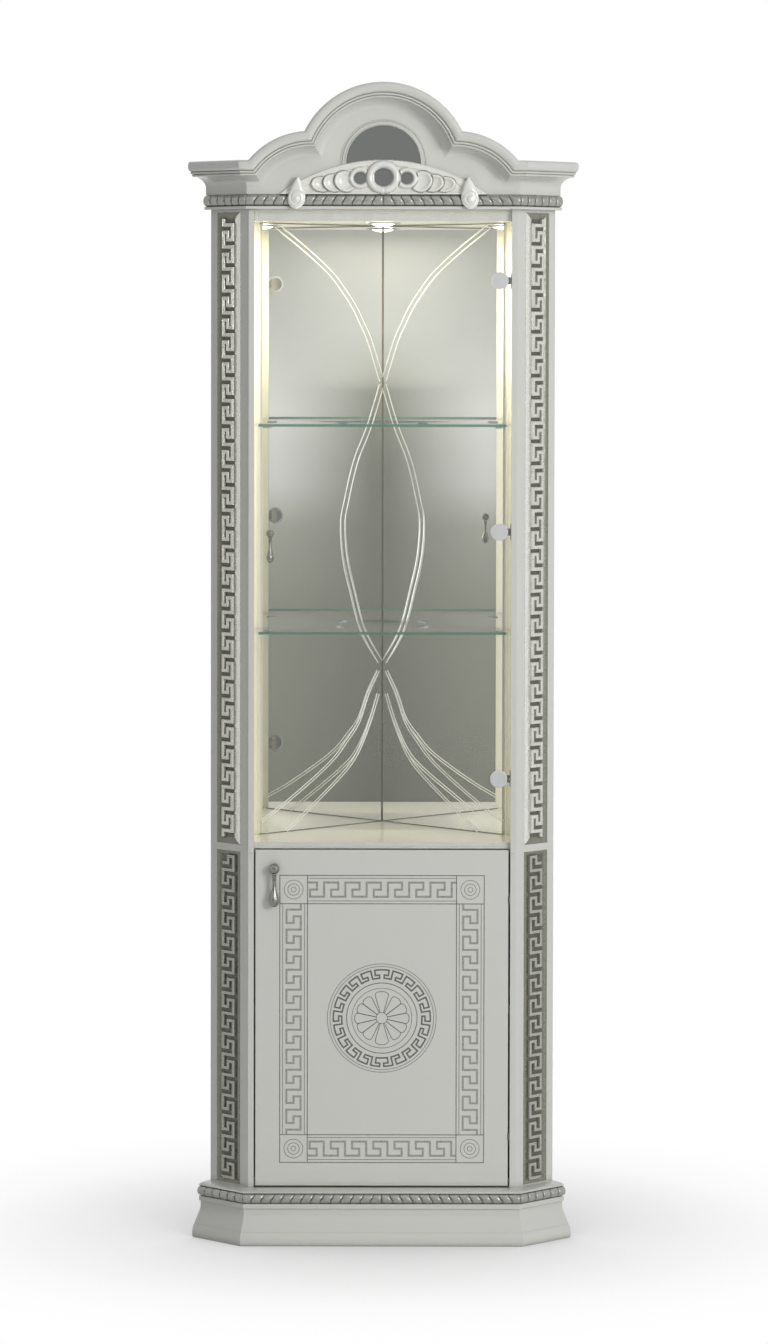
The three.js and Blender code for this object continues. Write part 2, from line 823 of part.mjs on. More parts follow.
function valleyPoint(drop) {
  const first = centreArchRadius - drop;
  const second = sideArchRadius - drop;
  const dx = sideArchCentre;
  const dz = sideArchZ - centreArchZ;
  const apart = Math.hypot(dx, dz);
  const along = (first ** 2 - second ** 2 + apart ** 2) / (2 * apart);
  const across = Math.sqrt(first ** 2 - along ** 2);
  return flat((along * dx - across * dz) / apart, centreArchZ + (along * dz + across * dx) / apart);
}

function outlineStations() {
  const stations = [];
  const sideArch = (side, share) => (drop) => {
    const radius = sideArchRadius - drop;
    const valley = valleyPoint(drop);
    const start = Math.asin((flatTop - drop - sideArchZ) / radius);
    const end = Math.atan2(valley.y - sideArchZ, valley.x - sideArchCentre);
    const angle = start + (end - start) * share;
    return flat(side * (sideArchCentre + radius * Math.cos(angle)), sideArchZ + radius * Math.sin(angle));
  };
  const centreArch = (share) => (drop) => {
    const radius = centreArchRadius - drop;
    const valley = valleyPoint(drop);
    const start = Math.atan2(valley.y - centreArchZ, valley.x);
    const angle = Math.PI - start - (Math.PI - 2 * start) * share;
    return flat(radius * Math.cos(angle), centreArchZ + radius * Math.sin(angle));
  };
  for (let i = 0; i <= sideArchSteps; i++) stations.push(sideArch(-1, i / sideArchSteps));
  for (let i = 1; i < centreArchSteps; i++) stations.push(centreArch(i / centreArchSteps));
  for (let i = sideArchSteps; i >= 0; i--) stations.push(sideArch(1, i / sideArchSteps));
  return stations;
}

// The moulding's rows, as a drop below the top outline and a projection.
function mouldingRows() {
  const rows = [];
  const bead = (drop, outer) => {
    rows.push(flat(drop, outer - beadQuirk));
    rows.push(flat(drop + beadHeight / 4, outer));
    rows.push(flat(drop + (3 * beadHeight) / 4, outer));
    rows.push(flat(drop + beadHeight, outer - beadQuirk));
  };
  rows.push(flat(0, fasciaProjection - fasciaRound));
  const roundHeight = fasciaRound / 2;
  rows.push(flat(roundHeight, fasciaProjection - fasciaRound / 6));
  rows.push(flat(fasciaHeight / 2, fasciaProjection));
  rows.push(flat(fasciaHeight - roundHeight, fasciaProjection - fasciaRound / 6));
  rows.push(flat(fasciaHeight, fasciaProjection - fasciaRound));
  bead(fasciaHeight, upperBeadProjection);
  bead(fasciaHeight + beadHeight, lowerBeadProjection);
  const coveTop = fasciaHeight + 2 * beadHeight;
  for (let i = 0; i <= curveSteps; i++) {
    const angle = (Math.PI / 2) * (i / curveSteps);
    const drop = coveTop + coveHeight * (1 - Math.cos(angle));
    rows.push(flat(drop, coveProjection - (coveProjection - friezeProjection) * Math.sin(angle)));
  }
  return rows;
}

function makeCrown() {
  const rows = mouldingRows();
  const lower = [
    flat(friezeBottom, friezeProjection),
    flat(friezeBottom, corniceRopeSeat),
    flat(corniceSeat - fit, corniceRopeSeat),
    flat(corniceSeat - fit, corniceFilletProjection),
    flat(bodyTop + fit, corniceFilletProjection),
    flat(bodyTop + fit, fit),
  ];
  const archRing = (station) => {
    const top = station(0);
    const foot = station(mouldingHeight);
    return [
      new THREE.Vector3(top.x, -fit, top.y),
      ...rows.map((row) => {
        const point = station(row.x);
        return new THREE.Vector3(point.x, -row.y, point.y);
      }),
      ...lower.map((row) => new THREE.Vector3(foot.x, -row.y, row.x)),
    ];
  };
  const profile = [
    flat(fit, flatTop),
    ...rows.map((row) => flat(row.y, flatTop - row.x)),
    ...lower.map((row) => flat(row.y, row.x)),
  ];
  const plainRing = (pointAt, side) => profile.map((point) => pointAt(side, point.x, point.y));
  const rings = [
    plainRing(wallEndPoint, -1),
    plainRing(cornerPoint, -1),
    ...outlineStations().map(archRing),
    plainRing(cornerPoint, 1),
    plainRing(wallEndPoint, 1),
  ];
  return loft(rings, profile);
}

// The crest's top edge is an arc over its straight foot.
const crestRadius = (crestHalfWidth ** 2 + crestRise ** 2) / (2 * crestRise);
const crestHeightAt = (x) => crestRise - crestRadius + Math.sqrt(crestRadius ** 2 - x ** 2);

// The window is an arch through the frieze. The crest hides its lower part.
const windowCentre = flatTop - windowDrop;
const windowSill = friezeBottom + windowBottom / 2;

function archShape(radius, sill) {
  const shape = new THREE.Shape();
  shape.moveTo(-radius, sill);
  shape.lineTo(radius, sill);
  shape.lineTo(radius, windowCentre);
  shape.absarc(0, windowCentre, radius, 0, Math.PI, false);
  shape.lineTo(-radius, sill);
  return shape;
}

const openingShape = archShape(windowRadius, windowSill);
const opening = frontPlate(openingShape, friezeProjection * 2, cutOverrun, windowSteps);
const rimDepth = friezeProjection + windowRimHeight - fit;
const rimSill = friezeBottom + crestHeightAt(windowRadius) + fit;
const rim = frontPlate(archShape(windowRadius + windowRimWidth, rimSill), rimDepth, -fit, windowSteps);
place('cornice_crown', cut(join(makeCrown(), rim), opening), lacquer);
const smokedRadius = windowRadius + smokedPaneMargin;
const smokedShape = archShape(smokedRadius, windowSill - smokedPaneMargin / 2);
place('pediment_pane', frontPlate(smokedShape, smokedPaneThickness, smokedPaneThickness), smokedMirror);
const ropeHeight = corniceRopeHeight - fit;
const corniceRope = gadroonBand(corniceSeat, ropeHeight, corniceRopeSeat, corniceRopeProjection);
place('cornice_rope', corniceRope, silverLeaf);

// The carved crest: an arched plate with a rim, pierced rings, leaning scallops and end volutes.
function crestSegment(inset) {
  const radius = crestRadius - inset;
  const centre = crestRise - crestRadius;
  const half = Math.acos((-crestSkirt - centre) / radius);
  const shape = new THREE.Shape();
  shape.absarc(0, centre, radius, Math.PI / 2 - half, Math.PI / 2 + half, false);
  shape.closePath();
  return shape;
}

function makeCrest() {
  const field = crestThickness;
  const ringAt = (radius, tube, x, z) => {
    const ring = new THREE.TorusGeometry(radius, tube, ringTubeSides, ringSides);
    return ring.rotateX(Math.PI / 2).translate(x, -field + tube / 3, z);
  };
  const plate = frontPlate(crestSegment(0), field, 0);
  const rimBand = cut(
    frontPlate(crestSegment(crestRimWidth), field + crestRimHeight, 0),
    frontPlate(crestSegment(2 * crestRimWidth), field * 2 + crestRimHeight, cutOverrun),
  );
  const pieces = [rimBand];
  const hole = (radius, x, z) => facingRod(radius, field * 4, roundSides).translate(x, 0, z);
  const holes = [hole(crestRingRadius - crestRingTube - crestLip, 0, crestRingCentre)];
  pieces.push(ringAt(crestRingRadius, crestRingTube, 0, crestRingCentre - crestRingTube / 2));
  for (const [, side] of sides) {
    const eyeX = side * crestEyeSpacing;
    pieces.push(ringAt(crestEyeRadius, crestEyeTube, eyeX, crestEyeCentre));
    holes.push(hole(crestEyeRadius - crestEyeTube - crestLip, eyeX, crestEyeCentre));
    for (let i = 0; i < scallopCount; i++) {
      const x = side * (scallopStart + i * scallopSpacing);
      const z = scallopBase - i * scallopDrop;
      const ring = new THREE.TorusGeometry(scallopRadius, scallopTube, scallopTubeSides, scallopSides);
      pieces.push(ring.rotateX(Math.PI / 2).translate(x, -field + scallopTube / 2, z));
    }
    const volute = new THREE.SphereGeometry(voluteRadius, ringSides, smallSides);
    volute.scale(1, voluteHeight / voluteRadius, voluteStretchShare);
    volute.translate(side * voluteOffset, -voluteSeat, voluteDrop - voluteRadius / 2);
    const tail = new THREE.ConeGeometry(voluteTailRadius, voluteTail, smallSides);
    tail.rotateX(Math.PI / 2).scale(1, voluteTailShare, 1);
    tail.translate(side * (voluteOffset - voluteLean), -voluteSeat, voluteDrop + voluteTail / 4);
    pieces.push(volute, tail);
  }
  const joined = join(plate, ...pieces);
  const span = 3 * crestHalfWidth;
  const ropeReach = corniceRopeProjection - friezeProjection + shelfClearance;
  const behind = box(span, span, span, 0, span / 2, 0);
  const overRope = box(span, 2 * ropeReach, span, 0, 0, -(span + fit) / 2);
  return cut(joined, ...holes, behind, overRope);
}

place('pediment_crest', makeCrest(), lacquer).position.set(0, -friezeProjection - fit, friezeBottom);

// A door leaf facing forwards, with a sloped edge all round its face.
function doorLeaf(right, bottom, top, front, back, edge, edgeDepth) {
  const ring = (inset, depth) => [
    new THREE.Vector3(doorLeft + inset, depth, bottom + inset),
    new THREE.Vector3(right - inset, depth, bottom + inset),
    new THREE.Vector3(right - inset, depth, top - inset),
    new THREE.Vector3(doorLeft + inset, depth, top - inset),
  ];
  const rings = [ring(0, back), ring(0, front + edgeDepth), ring(edge, front)];
  return loft(rings, rings[0].map((point) => flat(point.x, point.z)));
}

// A rod on the axis that both doors turn about.
function onHingeAxis(radius, height, z) {
  return uprightRod(radius, height, smallSides).translate(hingeAxisX, hingeAxisDepth, z);
}

// The post half of a hinge: a leaf, two outer knuckles and the pin.
function makePostHinge() {
  const leafX = stileEdge - fit - leafThickness / 2;
  const leaf = box(leafThickness, leafDepth, leafHeight, leafX, hingeAxisDepth + leafDepth / 2, 0);
  const notchHeight = knuckleHeight + 2 * knuckleSlack;
  const notchDepth = 2 * (knuckleRadius + notchSlack);
  const notch = box(2 * notchDepth, notchDepth, notchHeight, leafX, hingeAxisDepth, 0);
  const outerRise = (notchHeight + outerKnuckleHeight) / 2;
  const outer = [-1, 1].map((way) => onHingeAxis(knuckleRadius, outerKnuckleHeight, way * outerRise));
  return join(cut(leaf, notch), ...outer, onHingeAxis(hingePinRadius, 2 * outerRise, 0));
}

const centreKnuckle = () => onHingeAxis(knuckleRadius, knuckleHeight, 0);
const hingeBore = () => onHingeAxis(knuckleBore, 2 * knuckleHeight, 0);

// The glass door is held at each hinge between a cap and a cup, and the cup carries the knuckle.
const capX = glassRight - hingeCapInset;

function makeCap() {
  const back = glassSetback - fit;
  const front = back - hingeCapThickness;
  return turned([
    flat(0, front),
    flat(hingeCapRadius - hingeCapEdge, front),
    flat(hingeCapRadius, front + hingeCapEdge),
    flat(hingeCapRadius, back),
    flat(hingeBossRadius, back),
    flat(hingeBossRadius, glassBack),
    flat(0, glassBack),
  ]).translate(capX, 0, 0);
}

function makeCup() {
  const front = glassBack + fit;
  const cup = facingRod(hingeCupRadius, hingeCupThickness, roundSides);
  const webX = hingeAxisX - knuckleRadius + webThickness / 2;
  const webBack = front + plateThickness;
  const webDepth = webBack - hingeAxisDepth;
  const web = box(webThickness, webDepth, knuckleHeight, webX, webBack - webDepth / 2, 0);
  const armRight = webX + webThickness / 2;
  const armY = front + plateThickness / 2;
  const arm = box(armRight - capX, plateThickness, hingeArmHeight, (armRight + capX) / 2, armY, 0);
  cup.translate(capX, front + hingeCupThickness / 2, 0);
  return cut(join(cup, arm, web, centreKnuckle()), hingeBore());
}

const displayMiddle = deckTop + displayHeight / 2;
const hingeHeights = [
  ['lower_glass_hinge', deckTop + lowerGlassHingeInset],
  ['middle_glass_hinge', displayMiddle + middleGlassHingeLift],
  ['upper_glass_hinge', ceilingBottom - upperGlassHingeInset],
];
const glassPullX = doorLeft + glassPullInset;
const glassPullZ = displayMiddle - glassPullDrop;
const glassHoles = hingeHeights.map(([, z]) =>
  facingRod(hingeBossRadius + fit, 4 * glassThickness, roundSides).translate(capX, glassBack, z),
);
const glassPullHole = facingRod(pullShank + fit, 4 * glassThickness, smallSides);
glassHoles.push(glassPullHole.translate(glassPullX, glassBack, glassPullZ));
const glassLeaf = doorLeaf(
  glassRight,
  glassBottom,
  glassTop,
  glassSetback,
  glassBack,
  glassBevel,
  glassBevelDepth,
);
place('glass_door', cut(glassLeaf, ...glassHoles), clearGlass);
for (const [name, z] of hingeHeights) {
  place(`${name}_cap`, makeCap(), chrome).position.z = z;
  place(`${name}_cup`, makeCup(), chrome).position.z = z;
  place(`${name}_leaf`, makePostHinge(), darkSteel).position.z = z;
}

// The cupboard door hangs on two butt hinges let into its edge.
function makeDoorHinge() {
  const leafFront = hingeAxisDepth + knuckleRadius + notchSlack;
  const depth = hingeAxisDepth + leafDepth - leafFront;
  const leafX = lowerDoorRight - leafThickness / 2;
  const leaf = box(leafThickness, depth, leafHeight, leafX, leafFront + depth / 2, 0);
  const bridgeDepth = leafFront - hingeAxisDepth + plateThickness;
  const bridge = box(leafThickness, bridgeDepth, knuckleHeight, leafX, hingeAxisDepth + bridgeDepth / 2, 0);
  return cut(join(leaf, bridge, centreKnuckle()), hingeBore());
}

function hingeMortises(z) {
  const leafFront = hingeAxisDepth + knuckleRadius + notchSlack - fit;
  const width = 2 * (leafThickness + fit);
  const mortiseY = leafFront + leafDepth / 2;
  const mortise = box(width, leafDepth + 2 * fit, leafHeight + 2 * fit, lowerDoorRight, mortiseY, z);
  const reach = hingeAxisX - knuckleRadius - notchSlack;
  const knuckles = knuckleHeight + 2 * (knuckleSlack + outerKnuckleHeight + notchSlack);
  const notch = box(2 * (lowerDoorRight - reach), 2 * (leafFront + fit), knuckles, lowerDoorRight, 0, z);
  return [mortise, notch];
}

const lowerHinges = [
  ['lower_cupboard_hinge', lowerDoorBottom + lowerHingeInset],
  ['upper_cupboard_hinge', lowerDoorTop - lowerHingeInset],
];
const lowerPullX = doorLeft + lowerPullInset;
const lowerPullZ = lowerDoorTop - lowerPullDrop;
const shankHole = facingRod(pullShank + fit, 2 * (pullShankDepth + fit), smallSides);
shankHole.translate(lowerPullX, lowerDoorSetback, lowerPullZ);
const lowerLeaf = doorLeaf(
  lowerDoorRight,
  lowerDoorBottom,
  lowerDoorTop,
  lowerDoorSetback,
  lowerDoorBack,
  lowerDoorEdge,
  lowerDoorEdge,
);
const lowerCuts = lowerHinges.flatMap(([, z]) => hingeMortises(z));
place('lower_door', cut(lowerLeaf, ...lowerCuts, shankHole), lacquer);
for (const [name, z] of lowerHinges) {
  place(`${name}_door_leaf`, makeDoorHinge(), darkSteel).position.z = z;
  place(`${name}_post_leaf`, makePostHinge(), darkSteel).position.z = z;
}

// The fixed part of a pull: rosette, stem, ball and the ears that hold the pin of the drop.
function makePullBase(share, shank) {
  const ball = new THREE.SphereGeometry(pullBall, pullSides, smallSides).translate(0, -pullReach, 0);
  const stem = facingRod(pullStem, pullReach, smallSides).translate(0, -pullReach / 2, 0);
  const rosette = facingRod(pullRosette, pullRosetteThickness, pullSides);
  rosette.translate(0, -pullRosetteThickness / 2, 0);
  const earTop = pullBall / 2;
  const ears = [-1, 1].flatMap((way) => {
    const x = (way * pullEarSpacing) / 2;
    const strapHeight = pullPinDrop - earTop;
    const strapZ = -(pullPinDrop + earTop) / 2;
    const strap = box(pullEarThickness, 2 * pullEarRadius, strapHeight, x, -pullReach, strapZ);
    const tip = crossRod(pullEarRadius, pullEarThickness, smallSides).translate(x, -pullReach, -pullPinDrop);
    return [strap, tip];
  });
  const pin = crossRod(pullPinRadius, pullEarSpacing, smallSides).translate(0, -pullReach, -pullPinDrop);
  const ornament = join(ball, stem, rosette, ...ears, pin).scale(share, share, share);
  return join(ornament.translate(0, -fit, 0), ...shank);
}

function makeDrop(share) {
  const outline = pullDropShares.map(([r, z]) => flat(r * pullDropRadius, -z * pullDropLength));
  const body = turned(outline, dropSides);
  const eye = crossRod(pullEyeRadius, pullEyeWidth, smallSides);
  const bore = crossRod(pullEyeBore, 2 * pullEyeWidth, smallSides);
  return cut(join(body.rotateX(Math.PI / 2), eye), bore).scale(share, share, share);
}

function placePull(name, share, shank, x, front, z) {
  const base = place(`${name}_pull`, makePullBase(share, shank), chrome);
  base.position.set(x, front, z);
  const drop = place(`${name}_pull_drop`, makeDrop(share), chrome);
  drop.position.set(x, front - fit - share * pullReach, z - share * pullPinDrop);
}

const glassNutFront = glassThickness + fit;
const glassShank = [
  facingRod(pullShank, glassNutFront + pullRosetteThickness, smallSides).translate(
    0,
    (glassNutFront - pullRosetteThickness) / 2 + fit,
    0,
  ),
  facingRod(pullNut, pullNutThickness, smallSides).translate(0, glassNutFront + pullNutThickness / 2, 0),
];
const lowerShank = facingRod(pullShank, pullShankDepth, smallSides);
lowerShank.translate(0, pullShankDepth / 2 - 2 * fit, 0);
placePull('glass', glassPullShare, glassShank, glassPullX, glassSetback, glassPullZ);
placePull('lower', 1, [lowerShank], lowerPullX, lowerDoorSetback, lowerPullZ);

// A magnetic catch under the deck, and its strike on the back of the cupboard door
const catchX = doorLeft + catchInset;
const catchY = boardSetback + catchDepth / 2;
const catchZ = deckBottom - catchHeight / 2;
place('cupboard_catch', box(catchWidth, catchDepth, catchHeight, catchX, catchY, catchZ), magnet);
const strikeY = lowerDoorBack + fit + strikeThickness / 2;
const strikeZ = deckBottom - strikeHeight / 2;
const strike = box(strikeWidth, strikeThickness, strikeHeight, catchX, strikeY, strikeZ);
place('cupboard_strike', strike, darkSteel);

export default cabinet;
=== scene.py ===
# %% [markdown]
# # A white corner curio cabinet
# A five-sided cabinet with a glazed display over a cupboard, silver fret panels on its two returns
# at 45 degrees, and an arched cornice with a carved crest. Its solids and joints come from the
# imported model. This file gives them finishes and adds the pieces that are too fine for the solids:
# smooth mouldings, carving, engraved lines and polished edges.

import math
from functools import partial

import bmesh
import bpy
import numpy as np
from mathutils import Matrix, Vector


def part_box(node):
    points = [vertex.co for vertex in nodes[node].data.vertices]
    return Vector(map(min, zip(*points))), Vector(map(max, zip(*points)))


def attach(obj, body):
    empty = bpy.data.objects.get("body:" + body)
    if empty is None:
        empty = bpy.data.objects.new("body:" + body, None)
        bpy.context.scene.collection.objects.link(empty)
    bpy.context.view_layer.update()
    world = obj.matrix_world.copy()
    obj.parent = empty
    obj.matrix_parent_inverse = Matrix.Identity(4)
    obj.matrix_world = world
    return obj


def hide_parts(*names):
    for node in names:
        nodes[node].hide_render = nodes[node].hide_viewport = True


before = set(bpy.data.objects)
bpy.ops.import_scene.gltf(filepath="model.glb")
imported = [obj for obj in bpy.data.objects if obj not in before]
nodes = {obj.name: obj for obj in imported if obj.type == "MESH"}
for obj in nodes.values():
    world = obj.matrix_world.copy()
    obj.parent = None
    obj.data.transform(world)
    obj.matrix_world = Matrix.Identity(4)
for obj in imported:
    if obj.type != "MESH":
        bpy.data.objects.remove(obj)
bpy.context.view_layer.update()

# %% [markdown]
# ## Where things are
# Every place is in millimetres from the front plane, as a maker would measure it: across, back and
# up. One helper turns it into the metres of the part's frame.

# %% Places in millimetres
MM = 0.001
DIAGONAL = math.sqrt(0.5)
FRONT_PLANE = -171.0
HALF_FRONT, HALF_WALL = 254.0, 328.0
RETURN_RUN, REAR_DEPTH = 74.0, 402.0
DECK_TOP, CEILING = 761.0, 1940.0


def place(across, back, up):
    return Vector((across * MM, (back + FRONT_PLANE) * MM, up * MM))


def return_place(side, along, out, up):
    """A place on a return: along its face from the front corner, and out from it."""
    across = HALF_FRONT + along * DIAGONAL + out * DIAGONAL
    return place(side * across, along * DIAGONAL - out * DIAGONAL, up)


# %% [markdown]
# ## Making pieces
# A piece is collected as corners and faces and turned into one mesh at the end, smooth except at
# edges sharper than a set angle. It then rides on the body that carries it.

# %% Pieces in the scene
def give(thing, **values):
    for key, value in values.items():
        setattr(thing, key, value)


def put_in_scene(name, data):
    """An object in the scene, made of a mesh, a lamp or a camera."""
    thing = bpy.data.objects.new(name, data)
    bpy.context.scene.collection.objects.link(thing)
    return thing


def soften(data, crease):
    data.shade_smooth()
    data.set_sharp_from_angle(angle=math.radians(crease))
    return data


def settle(name, data, finish, stands_for=(), body="cabinet"):
    """Puts a mesh in the scene as a piece that rides on a body."""
    piece = put_in_scene(name, data)
    data.materials.clear()
    data.materials.append(finish)
    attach(piece, body)
    if stands_for:
        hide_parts(*stands_for)
    print(name, "has", len(data.polygons), "faces")


class Shape:
    """Corners and faces that become one piece."""

    def __init__(self):
        self.corners = []
        self.faces = []

    def add(self, corners, faces):
        start = len(self.corners)
        self.corners.extend(corners)
        self.faces.extend([[start + i for i in face] for face in faces])
        return self

    def skin(self, rings, closed=True, caps=True):
        """Quads between neighbouring rings of equal length, with the ends capped if wanted."""
        count = len(rings[0])
        faces = []
        for i in range(len(rings) - 1):
            for j in range(count if closed else count - 1):
                a, b = i * count + j, i * count + (j + 1) % count
                faces.append([a, b, b + count, a + count])
        if caps:
            faces.append(list(range(count))[::-1])
            faces.append([(len(rings) - 1) * count + j for j in range(count)])
        return self.add([corner for ring in rings for corner in ring], faces)

    def mesh(self, name, crease=32):
        data = bpy.data.meshes.new(name)
        data.from_pydata([tuple(corner) for corner in self.corners], [], self.faces)
        draft = bmesh.new()
        draft.from_mesh(data)
        bmesh.ops.remove_doubles(draft, verts=draft.verts, dist=1e-6)
        bmesh.ops.recalc_face_normals(draft, faces=draft.faces)
        draft.to_mesh(data)
        draft.free()
        return soften(data, crease)

    def become(self, name, finish, slot, stands_for=(), body="cabinet", crease=32):
        settle(name, self.mesh(name, crease), finish, stands_for, body)


# %% [markdown]
# ## Finishes
# Every finish is a small node tree round one Principled shader. A socket is wrapped so that sums
# are written as sums, and each sign adds a Math node. Everything else comes from one method that
# takes a node's kind, its settings and its inputs.

# %% Sockets that do arithmetic
class Wire:
    """A node's output, which can be used in a sum."""

    def __init__(self, finish, socket):
        self.finish = finish
        self.socket = socket

    def sum(self, operation, *terms):
        return self.finish.node("ShaderNodeMath", {"operation": operation}, dict(enumerate(terms)))

    def __add__(self, other):
        return self.sum("ADD", self, other)

    def __sub__(self, other):
        return self.sum("SUBTRACT", self, other)

    def __rsub__(self, other):
        return self.sum("SUBTRACT", other, self)

    def __mul__(self, other):
        return self.sum("MULTIPLY", self, other)

    def __lt__(self, other):
        return self.sum("LESS_THAN", self, other)

    def __abs__(self):
        return self.sum("ABSOLUTE", self)

    __radd__, __rmul__ = __add__, __mul__


class Finish:
    """A material or world whose nodes are added one by one."""

    def __init__(self, name, owner=None):
        self.material = owner or bpy.data.materials.new(name)
        self.material.use_nodes = True
        self.tree = self.material.node_tree
        self.tree.nodes.clear()

    def node(self, kind, settings=None, inputs=None, output=0):
        made = self.tree.nodes.new(kind)
        for key, value in (settings or {}).items():
            if key == "stops":
                ramp = made.color_ramp
                while len(ramp.elements) < len(value):
                    ramp.elements.new(1.0)
                for element, (spot, colour) in zip(ramp.elements, value):
                    element.position = spot
                    element.color = colour
            else:
                setattr(made, key, value)
        for key, value in (inputs or {}).items():
            if isinstance(value, Wire):
                self.tree.links.new(value.socket, made.inputs[key])
            else:
                made.inputs[key].default_value = value
        return Wire(self, made.outputs[output]) if len(made.outputs) else None

    def surface(self, shader):
        self.node("ShaderNodeOutputMaterial", None, {"Surface": shader})
        return self.material

    def spot(self):
        """A spot in the piece's own space, so that a finish stays put when a door swings."""
        return self.node("ShaderNodeTexCoord", None, None, "Object")

    def axis(self, number):
        return self.node("ShaderNodeSeparateXYZ", None, {"Vector": self.spot()}, number)

    def grain(self, scale, detail=3.0, roughness=0.5, stretch=None):
        spot = self.spot()
        if stretch:
            spot = self.node("ShaderNodeMapping", None, {"Vector": spot, "Scale": stretch})
        sockets = {"Vector": spot, "Scale": scale, "Detail": detail, "Roughness": roughness}
        return self.node("ShaderNodeTexNoise", {"noise_dimensions": "3D"}, sockets)

    def spread(self, value, low, high, start=0.0, end=1.0, kind="LINEAR"):
        """A value between two limits, spread over another range."""
        limits = {"From Min": low, "From Max": high, "To Min": start, "To Max": end}
        sockets = {"Value": value, **limits}
        return self.node("ShaderNodeMapRange", {"interpolation_type": kind}, sockets)

    def openness(self, reach, samples=8):
        """1 on an open face, and less where other surfaces stand within reach."""
        settings = {"samples": samples}
        return self.node("ShaderNodeAmbientOcclusion", settings, {"Distance": reach}, "AO")

    def sight(self):
        """1 for what the camera sees, in mirrors and through glass too, and 0 for other light."""
        kinds = ("Is Camera Ray", "Is Glossy Ray", "Is Transmission Ray")
        direct, mirrored, through = [self.node("ShaderNodeLightPath", output=k) for k in kinds]
        return direct + mirrored + through

    def blend(self, share, first, second):
        """A colour between two colours."""
        return self.node("ShaderNodeMix", {"data_type": "RGBA"}, {0: share, 6: first, 7: second}, 2)

    def bump(self, height, strength, distance):
        sockets = {"Height": height, "Strength": strength, "Distance": distance}
        return self.node("ShaderNodeBump", None, sockets)

    def shader(self, sockets):
        return self.node("ShaderNodeBsdfPrincipled", None, sockets)

    def coat(self, sockets):
        return self.surface(self.shader(sockets))

    def glow(self, colour):
        return self.node("ShaderNodeEmission", None, {"Color": colour, "Strength": 1.0})


def tone(red, green, blue):
    """A colour as a paint chart gives it, from 0 to 255, as the linear colour that nodes use."""
    linear = []
    for value in (red, green, blue):
        share = value / 255
        linear.append(share / 12.92 if share <= 0.04045 else ((share + 0.055) / 1.055) ** 2.4)
    return (*linear, 1.0)


# %% [markdown]
# ## White lacquer
# The case is sprayed with a gloss white lacquer that leans to grey-green. The film clouds a little
# over large areas, its gloss changes where it was rubbed, and it has the fine ripple that sprayers
# call orange peel. Painted shade, found by ambient occlusion and made uneven by a fine noise,
# darkens the inside corners towards an olive grey.

# %% Lacquer for the outside and the inside
def lacquer_paint(finish, light, dark, corner_shade_share):
    cloud = finish.grain(2.4, 2.0)
    shade_grain = finish.grain(60.0, 4.0, 0.6)
    # Painted shade: ambient occlusion darkens the inside corners towards an olive grey, made uneven
    # by a fine noise.
    corner = 1 - finish.openness(0.014)
    paint = finish.blend(cloud, tone(*dark), tone(*light))
    return finish.blend(corner * (corner_shade_share + 0.3 * shade_grain), paint, tone(104, 104, 92))


def lacquer_coat(finish, paint, dull):
    rubbed = finish.grain(9.0, 3.0, 0.5)
    ripple = finish.grain(420.0, 1.0)
    return finish.coat({
        "Base Color": paint,
        "Roughness": dull + 0.05 * (rubbed - 0.5),
        "Normal": finish.bump(ripple, 0.05, 0.0002),
        "Coat Weight": 0.6,
        "Coat Roughness": 0.05,
        "IOR": 1.5,
    })


def lacquer(name, light, dark, dull, corner_shade_share):
    finish = Finish(name)
    return lacquer_coat(finish, lacquer_paint(finish, light, dark, corner_shade_share), dull)


CREAM = (236, 233, 212), (228, 225, 203)
white_lacquer = lacquer("white_lacquer", (214, 214, 209), (207, 208, 202), 0.3, 0.35)
inner_lacquer = lacquer("inner_lacquer", *CREAM, 0.4, 0.2)
# Painted light: the crest takes a lighter copy of the white lacquer, with less painted shade in its
# corners.
lit_crest_lacquer = lacquer("lit_crest_lacquer", (236, 236, 230), (230, 230, 223), 0.2, 0.12)
print("three lacquers")


# %% [markdown]
# The deck and the ceiling are cream like the rest of the inside, but their front edges are white.
# One finish does both, and changes where the board reaches its front edge. The white is painted
# lighter than the case's lacquer and without corner shade, as painted light on edges in shade.

# %% Lacquer for boards with white front edges
EDGE_DEPTH = 0.4


def edged_lacquer(name, board):
    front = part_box(board)[0].y + EDGE_DEPTH * MM
    finish = Finish(name)
    at_edge = finish.axis(1) < front
    cream = lacquer_paint(finish, *CREAM, 0.2)
    # Painted light: a white lighter than the case's lacquer, with no painted shade in its corners.
    white = lacquer_paint(finish, (236, 236, 231), (230, 230, 224), 0.0)
    print(name, "turns white at", round(front, 4))
    return lacquer_coat(finish, finish.blend(at_edge, cream, white), 0.3)


deck_lacquer = edged_lacquer("deck_lacquer", "middle_deck")
ceiling_lacquer = edged_lacquer("ceiling_lacquer", "ceiling_board")


# %% [markdown]
# ## Silver leaf
# The fret panels and the gadrooned bands are laid with leaf and aged with a dark glaze. It stays
# in the hollows and in small worn spots, and the high places keep a broken, satin shine. Ambient
# occlusion finds the hollows, and noise at two sizes makes the streaks and spots. The pulls and
# the inlay of the door's engraving are aged in the same way.

# %% Aged leaf
def aged_leaf(name, leaf, glaze, shine, hollow, depth):
    leaf, glaze = tone(*leaf), tone(*glaze)
    finish = Finish(name)
    streaks = finish.grain(160.0, 6.0, 0.7, (1.0, 1.0, 0.25))
    spots = finish.grain(75.0, 5.0, 0.65)
    worn = finish.spread(spots, 0.46, 0.74)
    streaked = finish.spread(streaks, 0.35, 0.65)
    paint = finish.blend(0.55 * worn + 0.25 * streaked, leaf, finish.blend(0.5, leaf, glaze))
    sunk = finish.spread(finish.openness(hollow), 0.3, 0.95, 1.0, 0.0)
    return finish.coat({
        "Base Color": finish.blend(sunk * depth, paint, glaze),
        "Metallic": shine - 0.35 * sunk,
        "Roughness": 0.27 + 0.22 * worn,
        "Normal": finish.bump(streaks + spots, 0.14, 0.0003),
    })


